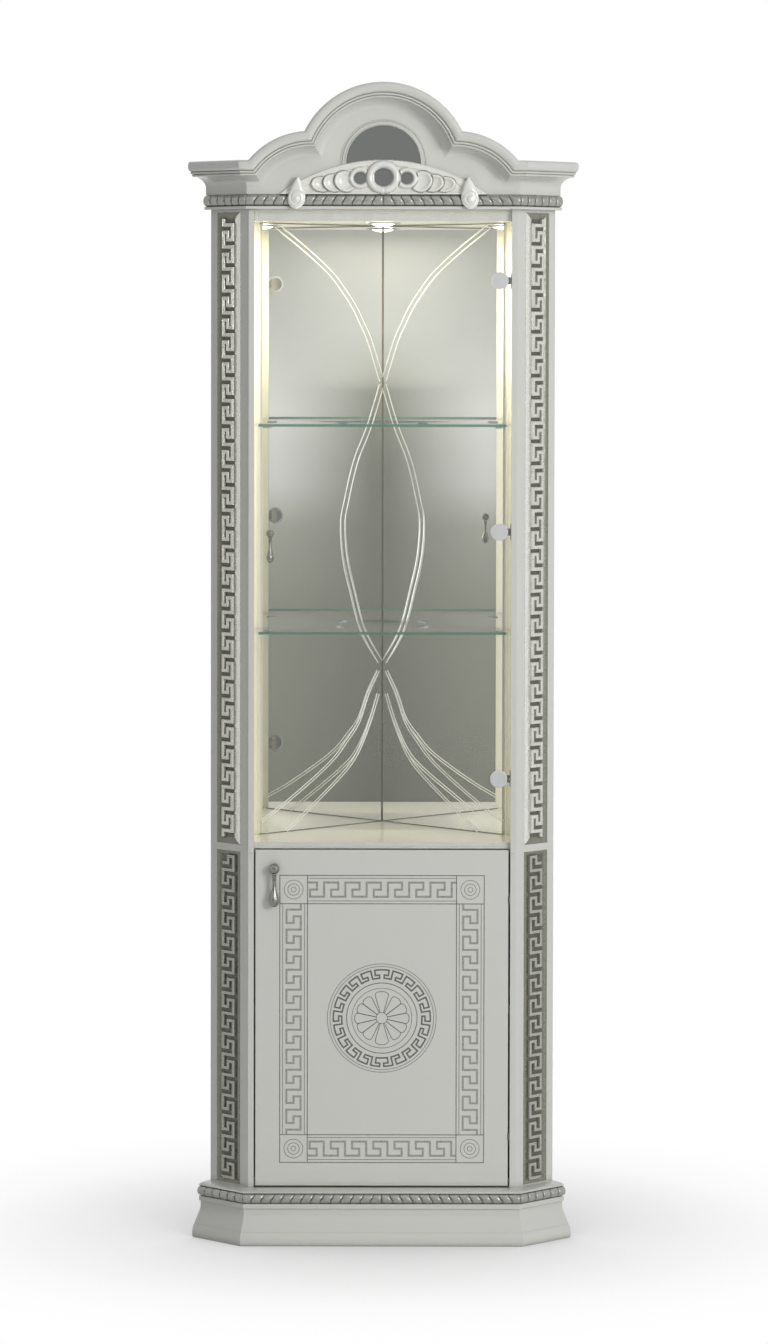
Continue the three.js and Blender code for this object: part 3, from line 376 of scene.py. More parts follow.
rope_silver = aged_leaf("rope_silver", (170, 171, 165), (72, 73, 67), 0.4, 0.005, 0.85)
key_silver = aged_leaf("key_silver", (226, 226, 217), (120, 120, 110), 0.4, 0.003, 0.55)
# Painted light and shade: lit and shaded copies of one leaf for the fret slopes, and a shaded copy
# of the key silver.
shaded_key_silver = aged_leaf("shaded_key_silver", (190, 191, 182), (104, 104, 95), 0.35, 0.003, 0.6)
lit_bevel = aged_leaf("lit_bevel", (232, 232, 226), (170, 170, 162), 0.55, 0.003, 0.3)
shaded_bevel = aged_leaf("shaded_bevel", (134, 134, 122), (92, 92, 82), 0.3, 0.006, 0.6)
glazed_ground = aged_leaf("glazed_ground", (100, 100, 90), (66, 66, 58), 0.35, 0.006, 0.7)
pull_nickel = aged_leaf("pull_nickel", (142, 141, 134), (30, 30, 27), 0.95, 0.006, 1.0)
band_inlay = aged_leaf("band_inlay", (156, 158, 152), (132, 134, 127), 0.25, 0.003, 0.3)
line_inlay = aged_leaf("line_inlay", (112, 114, 108), (84, 86, 80), 0.25, 0.003, 0.3)
dark_inlay = aged_leaf("dark_inlay", (104, 106, 100), (80, 82, 76), 0.2, 0.003, 0.3)
print("ten leaves")


# %% [markdown]
# ## Metals
# Chrome shows almost nothing but its surroundings, so it is one bright metal with a faint haze.
# The hinge leaves are darker zinc-plated steel, and the hinge caps on the glass have a pale satin
# coat.

# %% Chrome and steel
def metal(name, colour, dull, haze, scratch):
    finish = Finish(name)
    cloud = finish.grain(40.0, 5.0, 0.6)
    hairline = finish.grain(900.0, 2.0, 0.5, (1.0, 1.0, 0.08))
    return finish.coat({
        "Base Color": finish.blend(cloud * haze, tone(*colour), tone(120, 120, 122)),
        "Metallic": 1.0,
        "Roughness": dull + haze * 0.2 * cloud,
        "Normal": finish.bump(hairline, scratch, 0.0001),
    })


chrome = metal("chrome", (186, 186, 189), 0.06, 0.3, 0.03)
hinge_steel = metal("hinge_steel", (112, 112, 114), 0.3, 0.5, 0.12)
cap = Finish("satin_chrome")
haze = cap.grain(40.0, 3.0, 0.5)
satin_chrome = cap.coat({
    "Base Color": cap.blend(haze, tone(222, 222, 225), tone(204, 204, 206)),
    "Metallic": 0.3,
    "Roughness": 0.26 + 0.06 * haze,
    "Coat Weight": 0.6,
})
print("three metals")


# %% [markdown]
# ## Mirrors and glass
# The back walls of the display are mirrors, and the arch in the pediment holds a smoked one, which
# is a little dull and slightly waved. The clear glass is thin, so it is mostly see-through with a
# faint green body and a sharp gloss. Bent light would add nothing at this thickness and would
# block the lamps.

# %% Mirrors
def mirror(name, colour, clouded, dull, wave):
    finish = Finish(name)
    mist = finish.grain(2.2, 3.0, 0.5, (1.0, 1.0, 0.6))
    ripple = finish.grain(5.0, 1.0)
    share = finish.spread(mist, 0.35, 0.7)
    return finish.coat({
        "Base Color": finish.blend(share, tone(*colour), tone(*clouded)),
        "Metallic": 1.0,
        "Roughness": (0.6 + 0.8 * share) * dull,
        "Normal": finish.bump(ripple, 0.04, wave),
    })


mirror_glass = mirror("mirror_glass", (246, 246, 247), (240, 240, 241), 0.0, 0.0)
smoked_mirror = mirror("smoked_mirror", (174, 175, 182), (150, 151, 158), 0.09, 0.001)
cut = Finish("cut_mirror")
grind = cut.grain(300.0, 3.0, 0.6)
cut_mirror = cut.coat({
    "Base Color": cut.blend(grind, tone(240, 241, 236), tone(222, 224, 218)),
    "Metallic": 0.7,
    "Roughness": 0.42 + 0.1 * grind,
})
print("two mirrors and the ground of their cuts")


# %% Clear glass
def clear_pane(name, colour, share):
    finish = Finish(name)
    smear = finish.grain(6.0, 4.0, 0.6)
    return finish.coat({
        "Base Color": tone(*colour),
        "Roughness": 0.02 + 0.05 * smear,
        "IOR": 1.52,
        "Alpha": share + 0.02 * smear,
        "Coat Weight": 0.5,
    })


clear_glass = clear_pane("clear_glass", (212, 216, 213), 0.06)
shelf_edge_glass = clear_pane("shelf_edge_glass", (70, 122, 104), 0.9)
# Painted glint: a pale, half-opaque glass for the line along the door's bevel.
glint_glass = clear_pane("glint_glass", (222, 228, 232), 0.55)


# %% Lamp lens, seams and catch
def moulded_plastic(name, colour):
    finish = Finish(name)
    spark = finish.grain(1400.0, 2.0)
    cloud = finish.grain(20.0, 3.0)
    return finish.coat({
        "Base Color": finish.blend(cloud * 0.12, tone(*colour), tone(222, 221, 214)),
        "Roughness": 0.42 + 0.1 * spark,
        "Normal": finish.bump(spark, 0.15, 0.0001),
    })


lens = Finish("lamp_lens")
ribs = lens.grain(260.0, 1.0)
lamp_lens = lens.coat({
    "Base Color": tone(250, 248, 236),
    "Roughness": 0.3 + 0.1 * ribs,
    "Emission Color": lens.blend(ribs * 0.2, tone(255, 250, 232), tone(255, 236, 200)),
    "Emission Strength": 4.0,
})
seam_grey = moulded_plastic("seam_grey", (84, 80, 66))
magnet_plastic = moulded_plastic("magnet_plastic", (236, 235, 230))
print(len(bpy.data.materials), "finishes so far")

# %% [markdown]
# ## Finishes for the solids
# Each solid takes the finish of the first of these words that is in its name, and white lacquer
# without one. Solids that a finer piece stands for are dressed too.

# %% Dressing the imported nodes
finish_of_words = {
    "hinge_cap": satin_chrome, "leaf": hinge_steel, "hinge": chrome, "pin": chrome,
    "pull": pull_nickel, "bezel": chrome, "strike": hinge_steel, "catch": magnet_plastic,
    "lens": lamp_lens, "mirror": mirror_glass, "pediment_pane": smoked_mirror,
    "glass": clear_glass, "fret": shaded_bevel, "rope": rope_silver, "panel": inner_lacquer,
    "ceiling_board": ceiling_lacquer, "board": inner_lacquer, "deck": deck_lacquer,
}
for name, node in nodes.items():
    found = [finish for word, finish in finish_of_words.items() if word in name]
    node.data.materials.clear()
    node.data.materials.append((found + [white_lacquer])[0])
print(len(nodes), "nodes dressed")

# %% [markdown]
# ## Curves for profiles
# A moulding's profile is a list of points, each how far it stands out and how high. Easy curves
# run between short straight quirks, and each starts from the last point. A small fit keeps a piece
# off the solids it lies on.

# %% Profile curves
FIT = 0.2


def curve_on(profile, steps, *pulls):
    """Adds a curve to a profile: it ends at the last point and the others pull it."""
    points = [profile[-1], *pulls]
    order = len(pulls)
    for i in range(1, steps + 1):
        t = i / steps
        weights = [math.comb(order, k) * (1 - t) ** (order - k) * t ** k for k in range(order + 1)]
        profile.append(tuple(sum(w * p[axis] for w, p in zip(weights, points)) for axis in (0, 1)))


# %% [markdown]
# ## Running a profile round the case
# The base and the cornice run along one return, across the front and back along the other, with
# mitred corners. On this cabinet the mitre is a little steeper than the true half angle, so the
# mouldings grow slightly deeper towards the wall.

# %% Mitred corners
CORNER_RATE = 0.29


def wall_end(side, out, up):
    run = out * DIAGONAL
    return place(side * (HALF_WALL + run), RETURN_RUN - run, up)


def front_corner(side, out, up):
    return place(side * (HALF_FRONT + out * CORNER_RATE), -out, up)


left_end, left_corner = partial(wall_end, -1), partial(front_corner, -1)
right_corner, right_end = partial(front_corner, 1), partial(wall_end, 1)
print("a moulding 10 mm out ends at", [round(v, 4) for v in left_end(10.0, 0.0)])

# %% [markdown]
# ## Base moulding
# The foot swells out, steps in at a quirk and sweeps up in a long hollow to a narrow neck, with a
# fillet and a rounded cap that hold the gadrooned band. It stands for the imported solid, which has
# few facets.

# %% The base
base_profile = [(FIT, 0.0), (44.0, 0.0)]
curve_on(base_profile, 6, (48.0, 0.0), (48.0, 8.0))
curve_on(base_profile, 8, (48.0, 17.0), (43.5, 25.0))
base_profile += [(42.3, 25.0)]
curve_on(base_profile, 14, (34.8, 41.5), (26.0, 50.0), (26.0, 58.0))
base_profile += [(26.0, 67.4), (26.6, 68.0), (29.4, 68.0), (30.0, 68.6), (30.0, 77.3)]
base_profile += [(20.0, 77.3), (20.0, 97.7), (31.0, 97.7)]
curve_on(base_profile, 8, (28.0, 103.8), (0.2, 104.0))
base = Shape().skin([[end(out, up) for out, up in base_profile]
                     for end in (left_end, left_corner, right_corner, right_end)])
base.become("smooth_base", white_lacquer, "white_lacquer", ["base_moulding"])

# %% [markdown]
# ## The arched cornice
# The moulding runs level round the returns and climbs over the front in three arches. Its profile
# stays square to the curve, so each row is an arc about the same centre with its radius made
# smaller by the drop. Where two arches meet, the rows meet in a valley, at the point where the two
# smaller circles cross.

# %% The outline of the arches
FLAT_TOP = 2053.0
FRIEZE_BOTTOM = 1990.0
CENTRE_RADIUS, CENTRE_RISE = 165.0, 147.0
SIDE_RADIUS, SIDE_RISE, SIDE_ACROSS = 151.0, 55.0, 137.0
CENTRE_UP = FLAT_TOP + CENTRE_RISE - CENTRE_RADIUS
SIDE_UP = FLAT_TOP + SIDE_RISE - SIDE_RADIUS


def valley(drop):
    """Where the centre arch and the right arch cross, both made smaller by a drop."""
    first, second = CENTRE_RADIUS - drop, SIDE_RADIUS - drop
    rise = SIDE_UP - CENTRE_UP
    apart = math.hypot(SIDE_ACROSS, rise)
    along = (first ** 2 - second ** 2 + apart ** 2) / (2 * apart)
    beside = math.sqrt(first ** 2 - along ** 2)
    across = (along * SIDE_ACROSS - beside * rise) / apart
    return across, CENTRE_UP + (along * rise + beside * SIDE_ACROSS) / apart


def side_arch(side, share, drop):
    radius = SIDE_RADIUS - drop
    across, up = valley(drop)
    start = math.asin((FLAT_TOP - drop - SIDE_UP) / radius)
    end = math.atan2(up - SIDE_UP, across - SIDE_ACROSS)
    angle = start + (end - start) * share
    return side * (SIDE_ACROSS + radius * math.cos(angle)), SIDE_UP + radius * math.sin(angle)


def centre_arch(share, drop):
    radius = CENTRE_RADIUS - drop
    across, up = valley(drop)
    start = math.atan2(up - CENTRE_UP, across)
    angle = math.pi - start - (math.pi - 2 * start) * share
    return radius * math.cos(angle), CENTRE_UP + radius * math.sin(angle)


print("the arches meet at", [round(v, 1) for v in valley(0.0)])

# %% [markdown]
# From the top down come a fat rounded fascia, two beads between quirks, and the deep cove that
# dies into the plain frieze. A row is its drop below the outline and how far it stands out.

# %% The rows of the cornice
BEAD_TALL, BEAD_OUT, QUIRK = 4.75, 1.6, 2.6
COVE_DROP, COVE_TALL = 29.0, 21.0
COVE_OUT, FRIEZE_OUT = 46.0, 13.5
cornice_rows = [(0.0, 51.5)]
curve_on(cornice_rows, 6, (0.4, 59.6), (8.0, 60.0))
curve_on(cornice_rows, 7, (17.6, 60.0), (19.5, 52.5))
for top, out in ((19.5, 53.5), (24.25, 49.5)):
    cornice_rows += [(top, out - QUIRK)]
    for i in range(7):
        angle = math.pi * i / 6
        round_out = BEAD_OUT * math.sin(angle)
        cornice_rows += [(top + 0.3 + 2.07 * (1 - math.cos(angle)), out - BEAD_OUT + round_out)]
    cornice_rows += [(top + BEAD_TALL, out - QUIRK)]
for i in range(19):
    angle = math.pi / 2 * i / 18
    cornice_rows += [(COVE_DROP + COVE_TALL * (1 - math.cos(angle)),
                      COVE_OUT - (COVE_OUT - FRIEZE_OUT) * math.sin(angle))]
cornice_foot = [(FRIEZE_OUT, FRIEZE_BOTTOM), (8.0, FRIEZE_BOTTOM), (8.0, 1967.8), (16.9, 1967.8),
                (17.5, 1967.2), (17.5, 1962.8), (16.9, 1962.2), (FIT, 1962.2)]
print(len(cornice_rows), "rows")


# %% The arches and the level runs
def level_ring(end):
    ring = [end(FIT, FLAT_TOP)] + [end(out, FLAT_TOP - drop) for drop, out in cornice_rows]
    return ring + [end(out, up) for out, up in cornice_foot]


def arch_ring(outline):
    across, up = outline(0.0)
    ring = [place(across, -FIT, up)]
    for drop, out in cornice_rows:
        across, up = outline(drop)
        ring.append(place(across, -out, up))
    return ring + [place(across, -out, up) for out, up in cornice_foot]


SIDE_STEPS, CENTRE_STEPS = 18, 54
rings = [level_ring(left_end), level_ring(left_corner)]
for i in range(SIDE_STEPS + 1):
    rings.append(arch_ring(partial(side_arch, -1, i / SIDE_STEPS)))
for i in range(1, CENTRE_STEPS):
    rings.append(arch_ring(partial(centre_arch, i / CENTRE_STEPS)))
for i in range(SIDE_STEPS, -1, -1):
    rings.append(arch_ring(partial(side_arch, 1, i / SIDE_STEPS)))
rings += [level_ring(right_corner), level_ring(right_end)]
crown = Shape().skin(rings)
print(len(rings), "rings in the cornice")

# %% [markdown]
# ## The window in the pediment
# A round-headed opening goes through to the smoked mirror behind. It crosses the flat face and
# nothing else, so a Boolean modifier cuts it, and is applied at once to leave a plain mesh.

# %% The opening
WINDOW_RADIUS = 70.0
WINDOW_UP = 2050.0
WINDOW_SILL, RIM_SILL = 2004.0, 2036.0


def arch_line(radius, sill, steps=48):
    line = [(-radius, sill)]
    for i in range(steps + 1):
        angle = math.pi - math.pi * i / steps
        line.append((radius * math.cos(angle), WINDOW_UP + radius * math.sin(angle)))
    return line + [(radius, sill)]


hole_line = arch_line(WINDOW_RADIUS, WINDOW_SILL)
cutter = Shape().skin([[place(x, back, z) for x, z in hole_line] for back in (-30.0, 1.0)])
crown_draft = put_in_scene("crown_draft", crown.mesh("crown_draft"))
cutter_draft = put_in_scene("cutter_draft", cutter.mesh("cutter_draft"))
boolean = crown_draft.modifiers.new("opening", "BOOLEAN")
give(boolean, object=cutter_draft, operation="DIFFERENCE", solver="EXACT")
bpy.context.view_layer.update()
graph = bpy.context.evaluated_depsgraph_get()
crown_cut = bpy.data.meshes.new_from_object(crown_draft.evaluated_get(graph))
crown_cut.name = "arched_cornice"
for draft in (crown_draft, cutter_draft):
    bpy.data.objects.remove(draft)
settle("arched_cornice", soften(crown_cut, 32), white_lacquer, ["cornice_crown"])

# %% [markdown]
# ## Strips along a line
# Rims, beads and engraved lines are a small section carried along a line. A strip lies on a
# surface and has sloped sides and mitred corners, so that a Greek key turns as sharply as the real
# one.

# %% A strip along a line
def mitred_edges(line, half, closed=False):
    """The line's points moved to each side by half a width, with mitred corners."""
    count = len(line)
    left, right = [], []
    for i, (x, z) in enumerate(line):
        steps = []
        if i or closed:
            steps.append((x - line[i - 1][0], z - line[i - 1][1]))
        if i + 1 < count or closed:
            after = line[(i + 1) % count]
            steps.append((after[0] - x, after[1] - z))
        normals = [(-dz / math.hypot(dx, dz), dx / math.hypot(dx, dz)) for dx, dz in steps]
        nx = sum(n[0] for n in normals)
        nz = sum(n[1] for n in normals)
        length = math.hypot(nx, nz)
        nx, nz = nx / length, nz / length
        reach = half / max(0.35, nx * normals[0][0] + nz * normals[0][1])
        left.append((x + nx * reach, z + nz * reach))
        right.append((x - nx * reach, z - nz * reach))
    return left, right


def strip(shape, line, width, rise, to_place, closed=False, slope=0.35):
    """A low strip with sloped sides. to_place turns across, up and height into a place."""
    half = width / 2
    foot = mitred_edges(line, half, closed)
    brow = mitred_edges(line, half * (1 - slope), closed)
    edges = ((foot[0], 0.0), (brow[0], rise), (brow[1], rise), (foot[1], 0.0))
    rings = [[to_place(*edge[i], height) for edge, height in edges] for i in range(len(line))]
    if closed:
        rings.append(rings[0])
    shape.skin(rings, closed=False, caps=False)
    if not closed:
        for ring in (rings[0], rings[-1]):
            shape.add(ring, [[0, 1, 2, 3]])


def trimmed(line, axis, low, high):
    """The part of a right-angled line between two limits of one coordinate."""
    kept_points = []
    for a, b in zip(line, line[1:]):
        if max(a[axis], b[axis]) < low or min(a[axis], b[axis]) > high:
            continue
        for point in (a, b):
            fixed = list(point)
            fixed[axis] = min(max(fixed[axis], low), high)
            if not kept_points or kept_points[-1] != tuple(fixed):
                kept_points.append(tuple(fixed))
    return kept_points


def circle_line(x, z, radius, steps):
    angles = [2 * math.pi * i / steps for i in range(steps)]
    return [(x + radius * math.cos(a), z + radius * math.sin(a)) for a in angles]


# %% [markdown]
# The window has a moulded rim: a flat band, a thin high bead inside it and a low one outside.

# %% The window's rim
def on_frieze(across, up, height):
    return place(across, -FRIEZE_OUT - height, up)


rim = Shape()
rim_mouldings = ((4.2, 8.0, 2.5, 0.45), (1.6, 2.2, 4.0, 0.6), (10.4, 2.4, 1.4, 0.7))
for beyond, width, rise, slope in rim_mouldings:
    strip(rim, arch_line(WINDOW_RADIUS + beyond, RIM_SILL), width, rise, on_frieze, slope=slope)
rim.become("window_rim", white_lacquer, "white_lacquer", crease=50)

# %% [markdown]
# ## Fret panels
# Each return holds two long trays. A rounded slope falls from the face to a dark glazed ground, on
# which a Greek key stands. The slope next to the front is broad. In the upper trays it is painted as
# bright silver, a painted highlight, and the other slopes are painted darker, as painted shade; the
# lower trays take only the shaded slopes and a shaded copy of the key silver. The key's bars have a
# fine raised bead along each edge and read as two bright lines. Each part is a piece of its own, so
# that it can take its own finish.

# %% The key's line
RETURN_WIDTH = 104.65
RECESS_HALF = 35.025
TRAY_LOW, TRAY_HIGH = -28.9, 34.8
GROUND_DEPTH, LIP_DEPTH, BACK_DEPTH = 4.9, 0.5, 10.8
KEY_RISE, BEAD_RISE, BEAD_WIDTH, BEAD_INSET = 4.1, 0.6, 1.8, 1.3
UPPER_PITCH, LOWER_PITCH, LOWER_START = 41.7, 39.3, 37.6


def key_turn(reach, bottom, pitch):
    third = pitch / 3
    return [(-reach, bottom + 2 * third), (0.0, bottom + 2 * third), (0.0, bottom + third),
            (reach, bottom + third), (reach, bottom + pitch), (-reach, bottom + pitch)]


def upper_key(reach, height):
    """A key that starts at the middle of its panel and is turned about there."""
    above = []
    for i in range(round(height / 2 / UPPER_PITCH)):
        above += key_turn(reach, (i - 1 / 6) * UPPER_PITCH, UPPER_PITCH)
    above.append((-reach, height))
    return [(x, -z) for x, z in reversed(above)] + above


def lower_key(reach, height):
    line = []
    for i in range(math.ceil(height / LOWER_PITCH) + 1):
        line += key_turn(reach, LOWER_START - height / 2 + (i - 1) * LOWER_PITCH, LOWER_PITCH)
    return [(x, -z) for x, z in line]


# %% [markdown]
# A panel is set out from the box of its packed fret. The widths of its slopes are those next to
# the front, next to the wall, and at the top and bottom.

# %% Slopes, grounds and keys
def fret_panel(level, side, key_line, bar, key_width, key_middle, slopes, front_finish, key_finish):
    hand = "left" if side < 0 else "right"
    node = f"{level}_{hand}_fret"
    low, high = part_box(node)
    middle = (low.z + high.z) / 2 / MM
    half_height = (high.z - low.z) / 2 / MM

    def on_face(x, z, rise):
        return return_place(side, RETURN_WIDTH / 2 + x, rise, middle + z)

    def on_ground(x, z, rise):
        return on_face(x + key_middle, z, rise - GROUND_DEPTH)

    def on_key(x, z, rise):
        return on_ground(x, z, rise + KEY_RISE - 0.1)

    def ring(depth, near, far, z):
        return [on_face(a, b, -depth) for a, b in ((near, z), (near, -z), (far, -z), (far, z))]

    def slope_ring(share, depth):
        return ring(depth, TRAY_LOW + slopes[0] * share, TRAY_HIGH - slopes[1] * share,
                    half_height - slopes[2] * share)

    def part(what, shape, finish, crease, slot="silver_leaf", stands_for=()):
        shape.become(f"{level}_{hand}_{what}", finish, slot, stands_for, crease=crease)

    fall = [slope_ring(0, BACK_DEPTH)]
    for i in range(9):
        sunk = 1 - math.cos(math.pi * i / 16)
        fall.append(slope_ring(i / 8, LIP_DEPTH + (GROUND_DEPTH - LIP_DEPTH) * sunk))
    front_slope = Shape().skin([r[:2] for r in fall], closed=False, caps=False)
    part("front_slope", front_slope, front_finish, 30, stands_for=[node])
    other_slopes = Shape().skin([r[1:] + r[:1] for r in fall], closed=False, caps=False)
    part("slopes", other_slopes, shaded_bevel, 30)
    ground = Shape().skin([slope_ring(0.95, BACK_DEPTH), slope_ring(0.95, GROUND_DEPTH)])
    part("ground", ground, glazed_ground, 12)
    fillet = Shape().skin([ring(depth, -RECESS_HALF + FIT, TRAY_LOW - 0.8, half_height)
                           for depth in (BACK_DEPTH, 0.15)])
    part("fillet", fillet, white_lacquer, 12, "white_lacquer")
    limit = half_height - slopes[2] + FIT
    line = trimmed(key_line((bar - key_width) / 2, 2 * half_height + 2 * FIT), 1, -limit, limit)
    key = Shape()
    strip(key, line, bar, KEY_RISE, on_ground, slope=0.12)
    for edge in mitred_edges(line, bar / 2 - BEAD_INSET):
        strip(key, edge, BEAD_WIDTH, BEAD_RISE, on_key, slope=0.3)
    part("key", key, key_finish, 12)


# The upper trays take the lit slope next to the front; the lower trays take only shaded slopes and
# the shaded keys.
upper_looks = (upper_key, 7.3, 32.1, 7.1, (19.9, 11.0, 12.0), lit_bevel, key_silver)
lower_looks = (lower_key, 6.0, 34.7, 5.3, (13.6, 8.5, 8.5), shaded_bevel, shaded_key_silver)
for side in (-1, 1):
    fret_panel("upper", side, *upper_looks)
    fret_panel("lower", side, *lower_looks)

# %% [markdown]
# ## Gadrooned bands
# A gadroon is a row of carved lobes. On the front they lean like rope towards the middle, on the
# returns they stand straight. The band is a half-round whose radius rises and falls, with narrow
# dips between broad lobes.

# %% A band of lobes
CUT_DEPTH, LEAN, SECTION_STEPS = 3.6, 6.0, 9
LOBE_SWELLS = [0.0, 0.55, 0.82, 0.95, 1.0, 0.97, 0.88, 0.66, 0.3]
LOBE_SHARES = [0.0, 0.06, 0.16, 0.3, 0.48, 0.66, 0.8, 0.9, 0.96]
ends = [left_end, left_corner, lambda out, up: place(0.0, -out, up), right_corner, right_end]
band_runs = list(zip(ends, ends[1:], (6, 14, 14, 6), (0.0, 1.0, -1.0, 0.0)))


def gadroon(bottom, height, seat, out):
    def ring(start, end, along, swell, shift):
        corners = []
        for j in range(SECTION_STEPS + 1):
            angle = math.pi * j / SECTION_STEPS - math.pi / 2
            up = (math.sin(angle) + 1) / 2
            edge = math.cos(angle)
            depth = CUT_DEPTH * (1 - swell) * (0.35 + 0.65 * edge)
            o = seat + FIT + max(edge ** 0.7 * (out - seat), 0.3 * (out - seat)) - depth
            z = bottom + up * height
            s = along + shift * (up - 0.5 + 0.25 * math.sin(math.pi * 2 * (up - 0.5)))
            corners.append(start(o, z).lerp(end(o, z), min(max(s, 0.0), 1.0)))
        return corners + [start(seat + FIT, z).lerp(end(seat + FIT, z), along)
                          for z in (bottom + height, bottom)]

    rings = []
    for start, end, lobes, way in band_runs:
        length = (end(0, 0) - start(0, 0)).length / MM
        for i in range(lobes):
            for lobe_share, swell in zip(LOBE_SHARES, LOBE_SWELLS):
                along = (i + lobe_share) / lobes
                taper = min(1.0, along * lobes, (1 - along) * lobes)
                rings.append(ring(start, end, along, swell, way * taper * LEAN / length))
    rings.append(ring(start, end, 1.0, 0.0, 0.0))
    return Shape().skin(rings)


cornice_band = gadroon(bottom=1968.0, height=21.8, seat=8.0, out=23.0)
cornice_band.become("cornice_gadroon", rope_silver, "silver_leaf", ["cornice_rope"], crease=60)
base_band = gadroon(bottom=77.5, height=20.0, seat=20.0, out=37.5)
base_band.become("base_gadroon", rope_silver, "silver_leaf", ["base_rope"], crease=60)

# %% [markdown]
# ## The carved crest
# The crest is low relief: a plate with an arched band, three pierced rings, leaning shells and a
# hanging volute at each end. It is carved as a height above a fine flat grid, where the later
# forms lie over the earlier. Where the height is nothing there is no wood, which makes the outline
# and the holes.

# %% The carver's ground
CREST_HALF, CREST_RISE = 198.0, 65.0
BAND_HALF, BAND_RISE = 174.0, 55.0
CREST_FOOT, DROP_FOOT = -0.4, -31.0
step = 0.8
xs = np.arange(-CREST_HALF - 2, CREST_HALF + 2 + step, step)
zs = np.arange(DROP_FOOT, CREST_RISE + 2, step)
GX, GZ = np.meshgrid(xs, zs, indexing="ij")
AX = np.abs(GX)


def dome(value):
    return np.sqrt(np.clip(1 - value ** 2, 0, 1))


def ease(value, low, high):
    t = np.clip((value - low) / (high - low), 0, 1)
    return t * t * (3 - 2 * t)


def ridge(value, middle, width):
    return np.exp(-((value - middle) / width) ** 2)


def inside_arch(half, rise):
    """How far each spot lies inside an arch."""
    radius = (half ** 2 + rise ** 2) / (2 * rise)
    return radius - np.hypot(GX, GZ - (rise - radius))


inside, inner = inside_arch(CREST_HALF, CREST_RISE), inside_arch(BAND_HALF, BAND_RISE)
above_foot = (GZ > CREST_FOOT) & (inside > 0)
plate = 5.4 * ease(inside, 0, 1.6) - 0.9 * ridge(inside, 4.4, 1.1)
relief = np.where(above_foot, plate, 0.0)
relief = np.where(above_foot & (inner > 0), relief - 2.4 * ease(inner, 0, 2.2), relief)
relief = np.where(above_foot & (GZ < 4.0) & (inside > 3), np.maximum(relief, 6.0), relief)
print("ground is", relief.shape)

# %% [markdown]
# Shells come first, from the outermost inwards, because each inner one laps over its neighbour. A
# shell is an oval with a raised lip and a hollow, highest at its outer side. It is given by its
# place across, its two half widths and its height.

# %% Shells, rings and seam
shells = ((116.0, 21.5, 15.5, 18.5), (94.0, 21.5, 18.0, 21.0), (72.0, 22.0, 21.5, 24.0))
for centre, wide, tall, up in shells:
    lean_x = AX - centre - 0.12 * (GZ - up)
    oval = np.hypot(lean_x / wide, (GZ - up) / tall)
    lip = 6.2 * ridge(oval, 0.8, 0.2)
    hollow = 4.6 + 2.4 * ease(oval, 0.1, 0.8)
    outer_side = 1.4 * ease(lean_x / wide, -0.4, 0.9)
    shell = (hollow + lip * 0.55 + outer_side) * ease(1 - oval, 0.0, 0.14) ** 0.6
    relief = np.where((oval < 1) & above_foot, np.maximum(shell, 2.2), relief)

holes = np.zeros_like(relief, bool)
crest_rings = ((44.0, 30.0, 11.6, 21.5, 10.4), (0.0, 31.5, 17.6, 33.0, 12.2))
for centre, up, hole_radius, ring_radius, top in crest_rings:
    flat_z = np.where(GZ < up, (GZ - up) * 1.06, GZ - up)
    reach = np.hypot(AX - centre, flat_z)
    middle, half = (hole_radius + ring_radius) / 2, (ring_radius - hole_radius) / 2
    rounded = top * dome((reach - middle) / half) ** 0.8
    over = (reach < ring_radius) & (GZ > CREST_FOOT)
    relief = np.where(over, np.maximum(rounded, 1.8 * (reach > hole_radius + 1)), relief)
    holes |= (reach < hole_radius - 0.6) & over
    holes &= ~((reach > hole_radius) & over)
seam = 2.2 * ridge(GX, 2.0, 1.1) * (GZ < 12) * (GZ > 0)
relief = np.where(above_foot, relief - seam, relief)
print("pierced spots", int(holes.sum()))

# %% [markdown]
# The volutes hang below the foot and lie over the gadrooned band, so they stand highest. Each is a
# drop with a pointed top, and a groove winds round its eye.

# %% Volutes
VOLUTE_ACROSS, VOLUTE_UP = 163.5, -8.0
VOLUTE_HALF, VOLUTE_BELOW, VOLUTE_ABOVE = 17.0, 19.5, 41.0
vx, vz = AX - VOLUTE_ACROSS, GZ - VOLUTE_UP
point = np.clip(1 - (vz / VOLUTE_ABOVE) ** 1.5, 0, 1) ** 0.75
drop_half = VOLUTE_HALF * np.where(vz > 0, point, dome(vz / VOLUTE_BELOW))
drop_oval = np.abs(vx + 0.07 * vz) / np.maximum(drop_half, 0.01)
drop_in = (drop_oval < 1) & (vz > -VOLUTE_BELOW) & (vz < VOLUTE_ABOVE - 1)
turn = np.hypot(vx, vz * 0.92)
wind = np.sin(2 * math.pi * (turn / 8.6) - np.arctan2(vz, vx))
volute = 10.0 + 8.0 * dome(np.clip(drop_oval, 0, 1)) ** 0.8
volute -= 1.5 * ease(wind, 0.3, 1.0) * ease(VOLUTE_HALF - turn, 0, 4) * ease(turn, 2.5, 5.5)
volute += 1.6 * ridge(turn, 0.0, 4.2)
volute -= 2.0 * ease(vz, 12.0, 38.0)
relief = np.where(drop_in, np.maximum(volute, 0), relief)
relief = np.where(holes, 0.0, relief)
relief[relief < 0.35] = 0.0
print("highest carving", round(float(relief.max()), 1), "mm")

# %% [markdown]
# Squares with a corner at height nothing keep it on the ground, which closes the sides, and
# squares that lie wholly on the ground are left out.

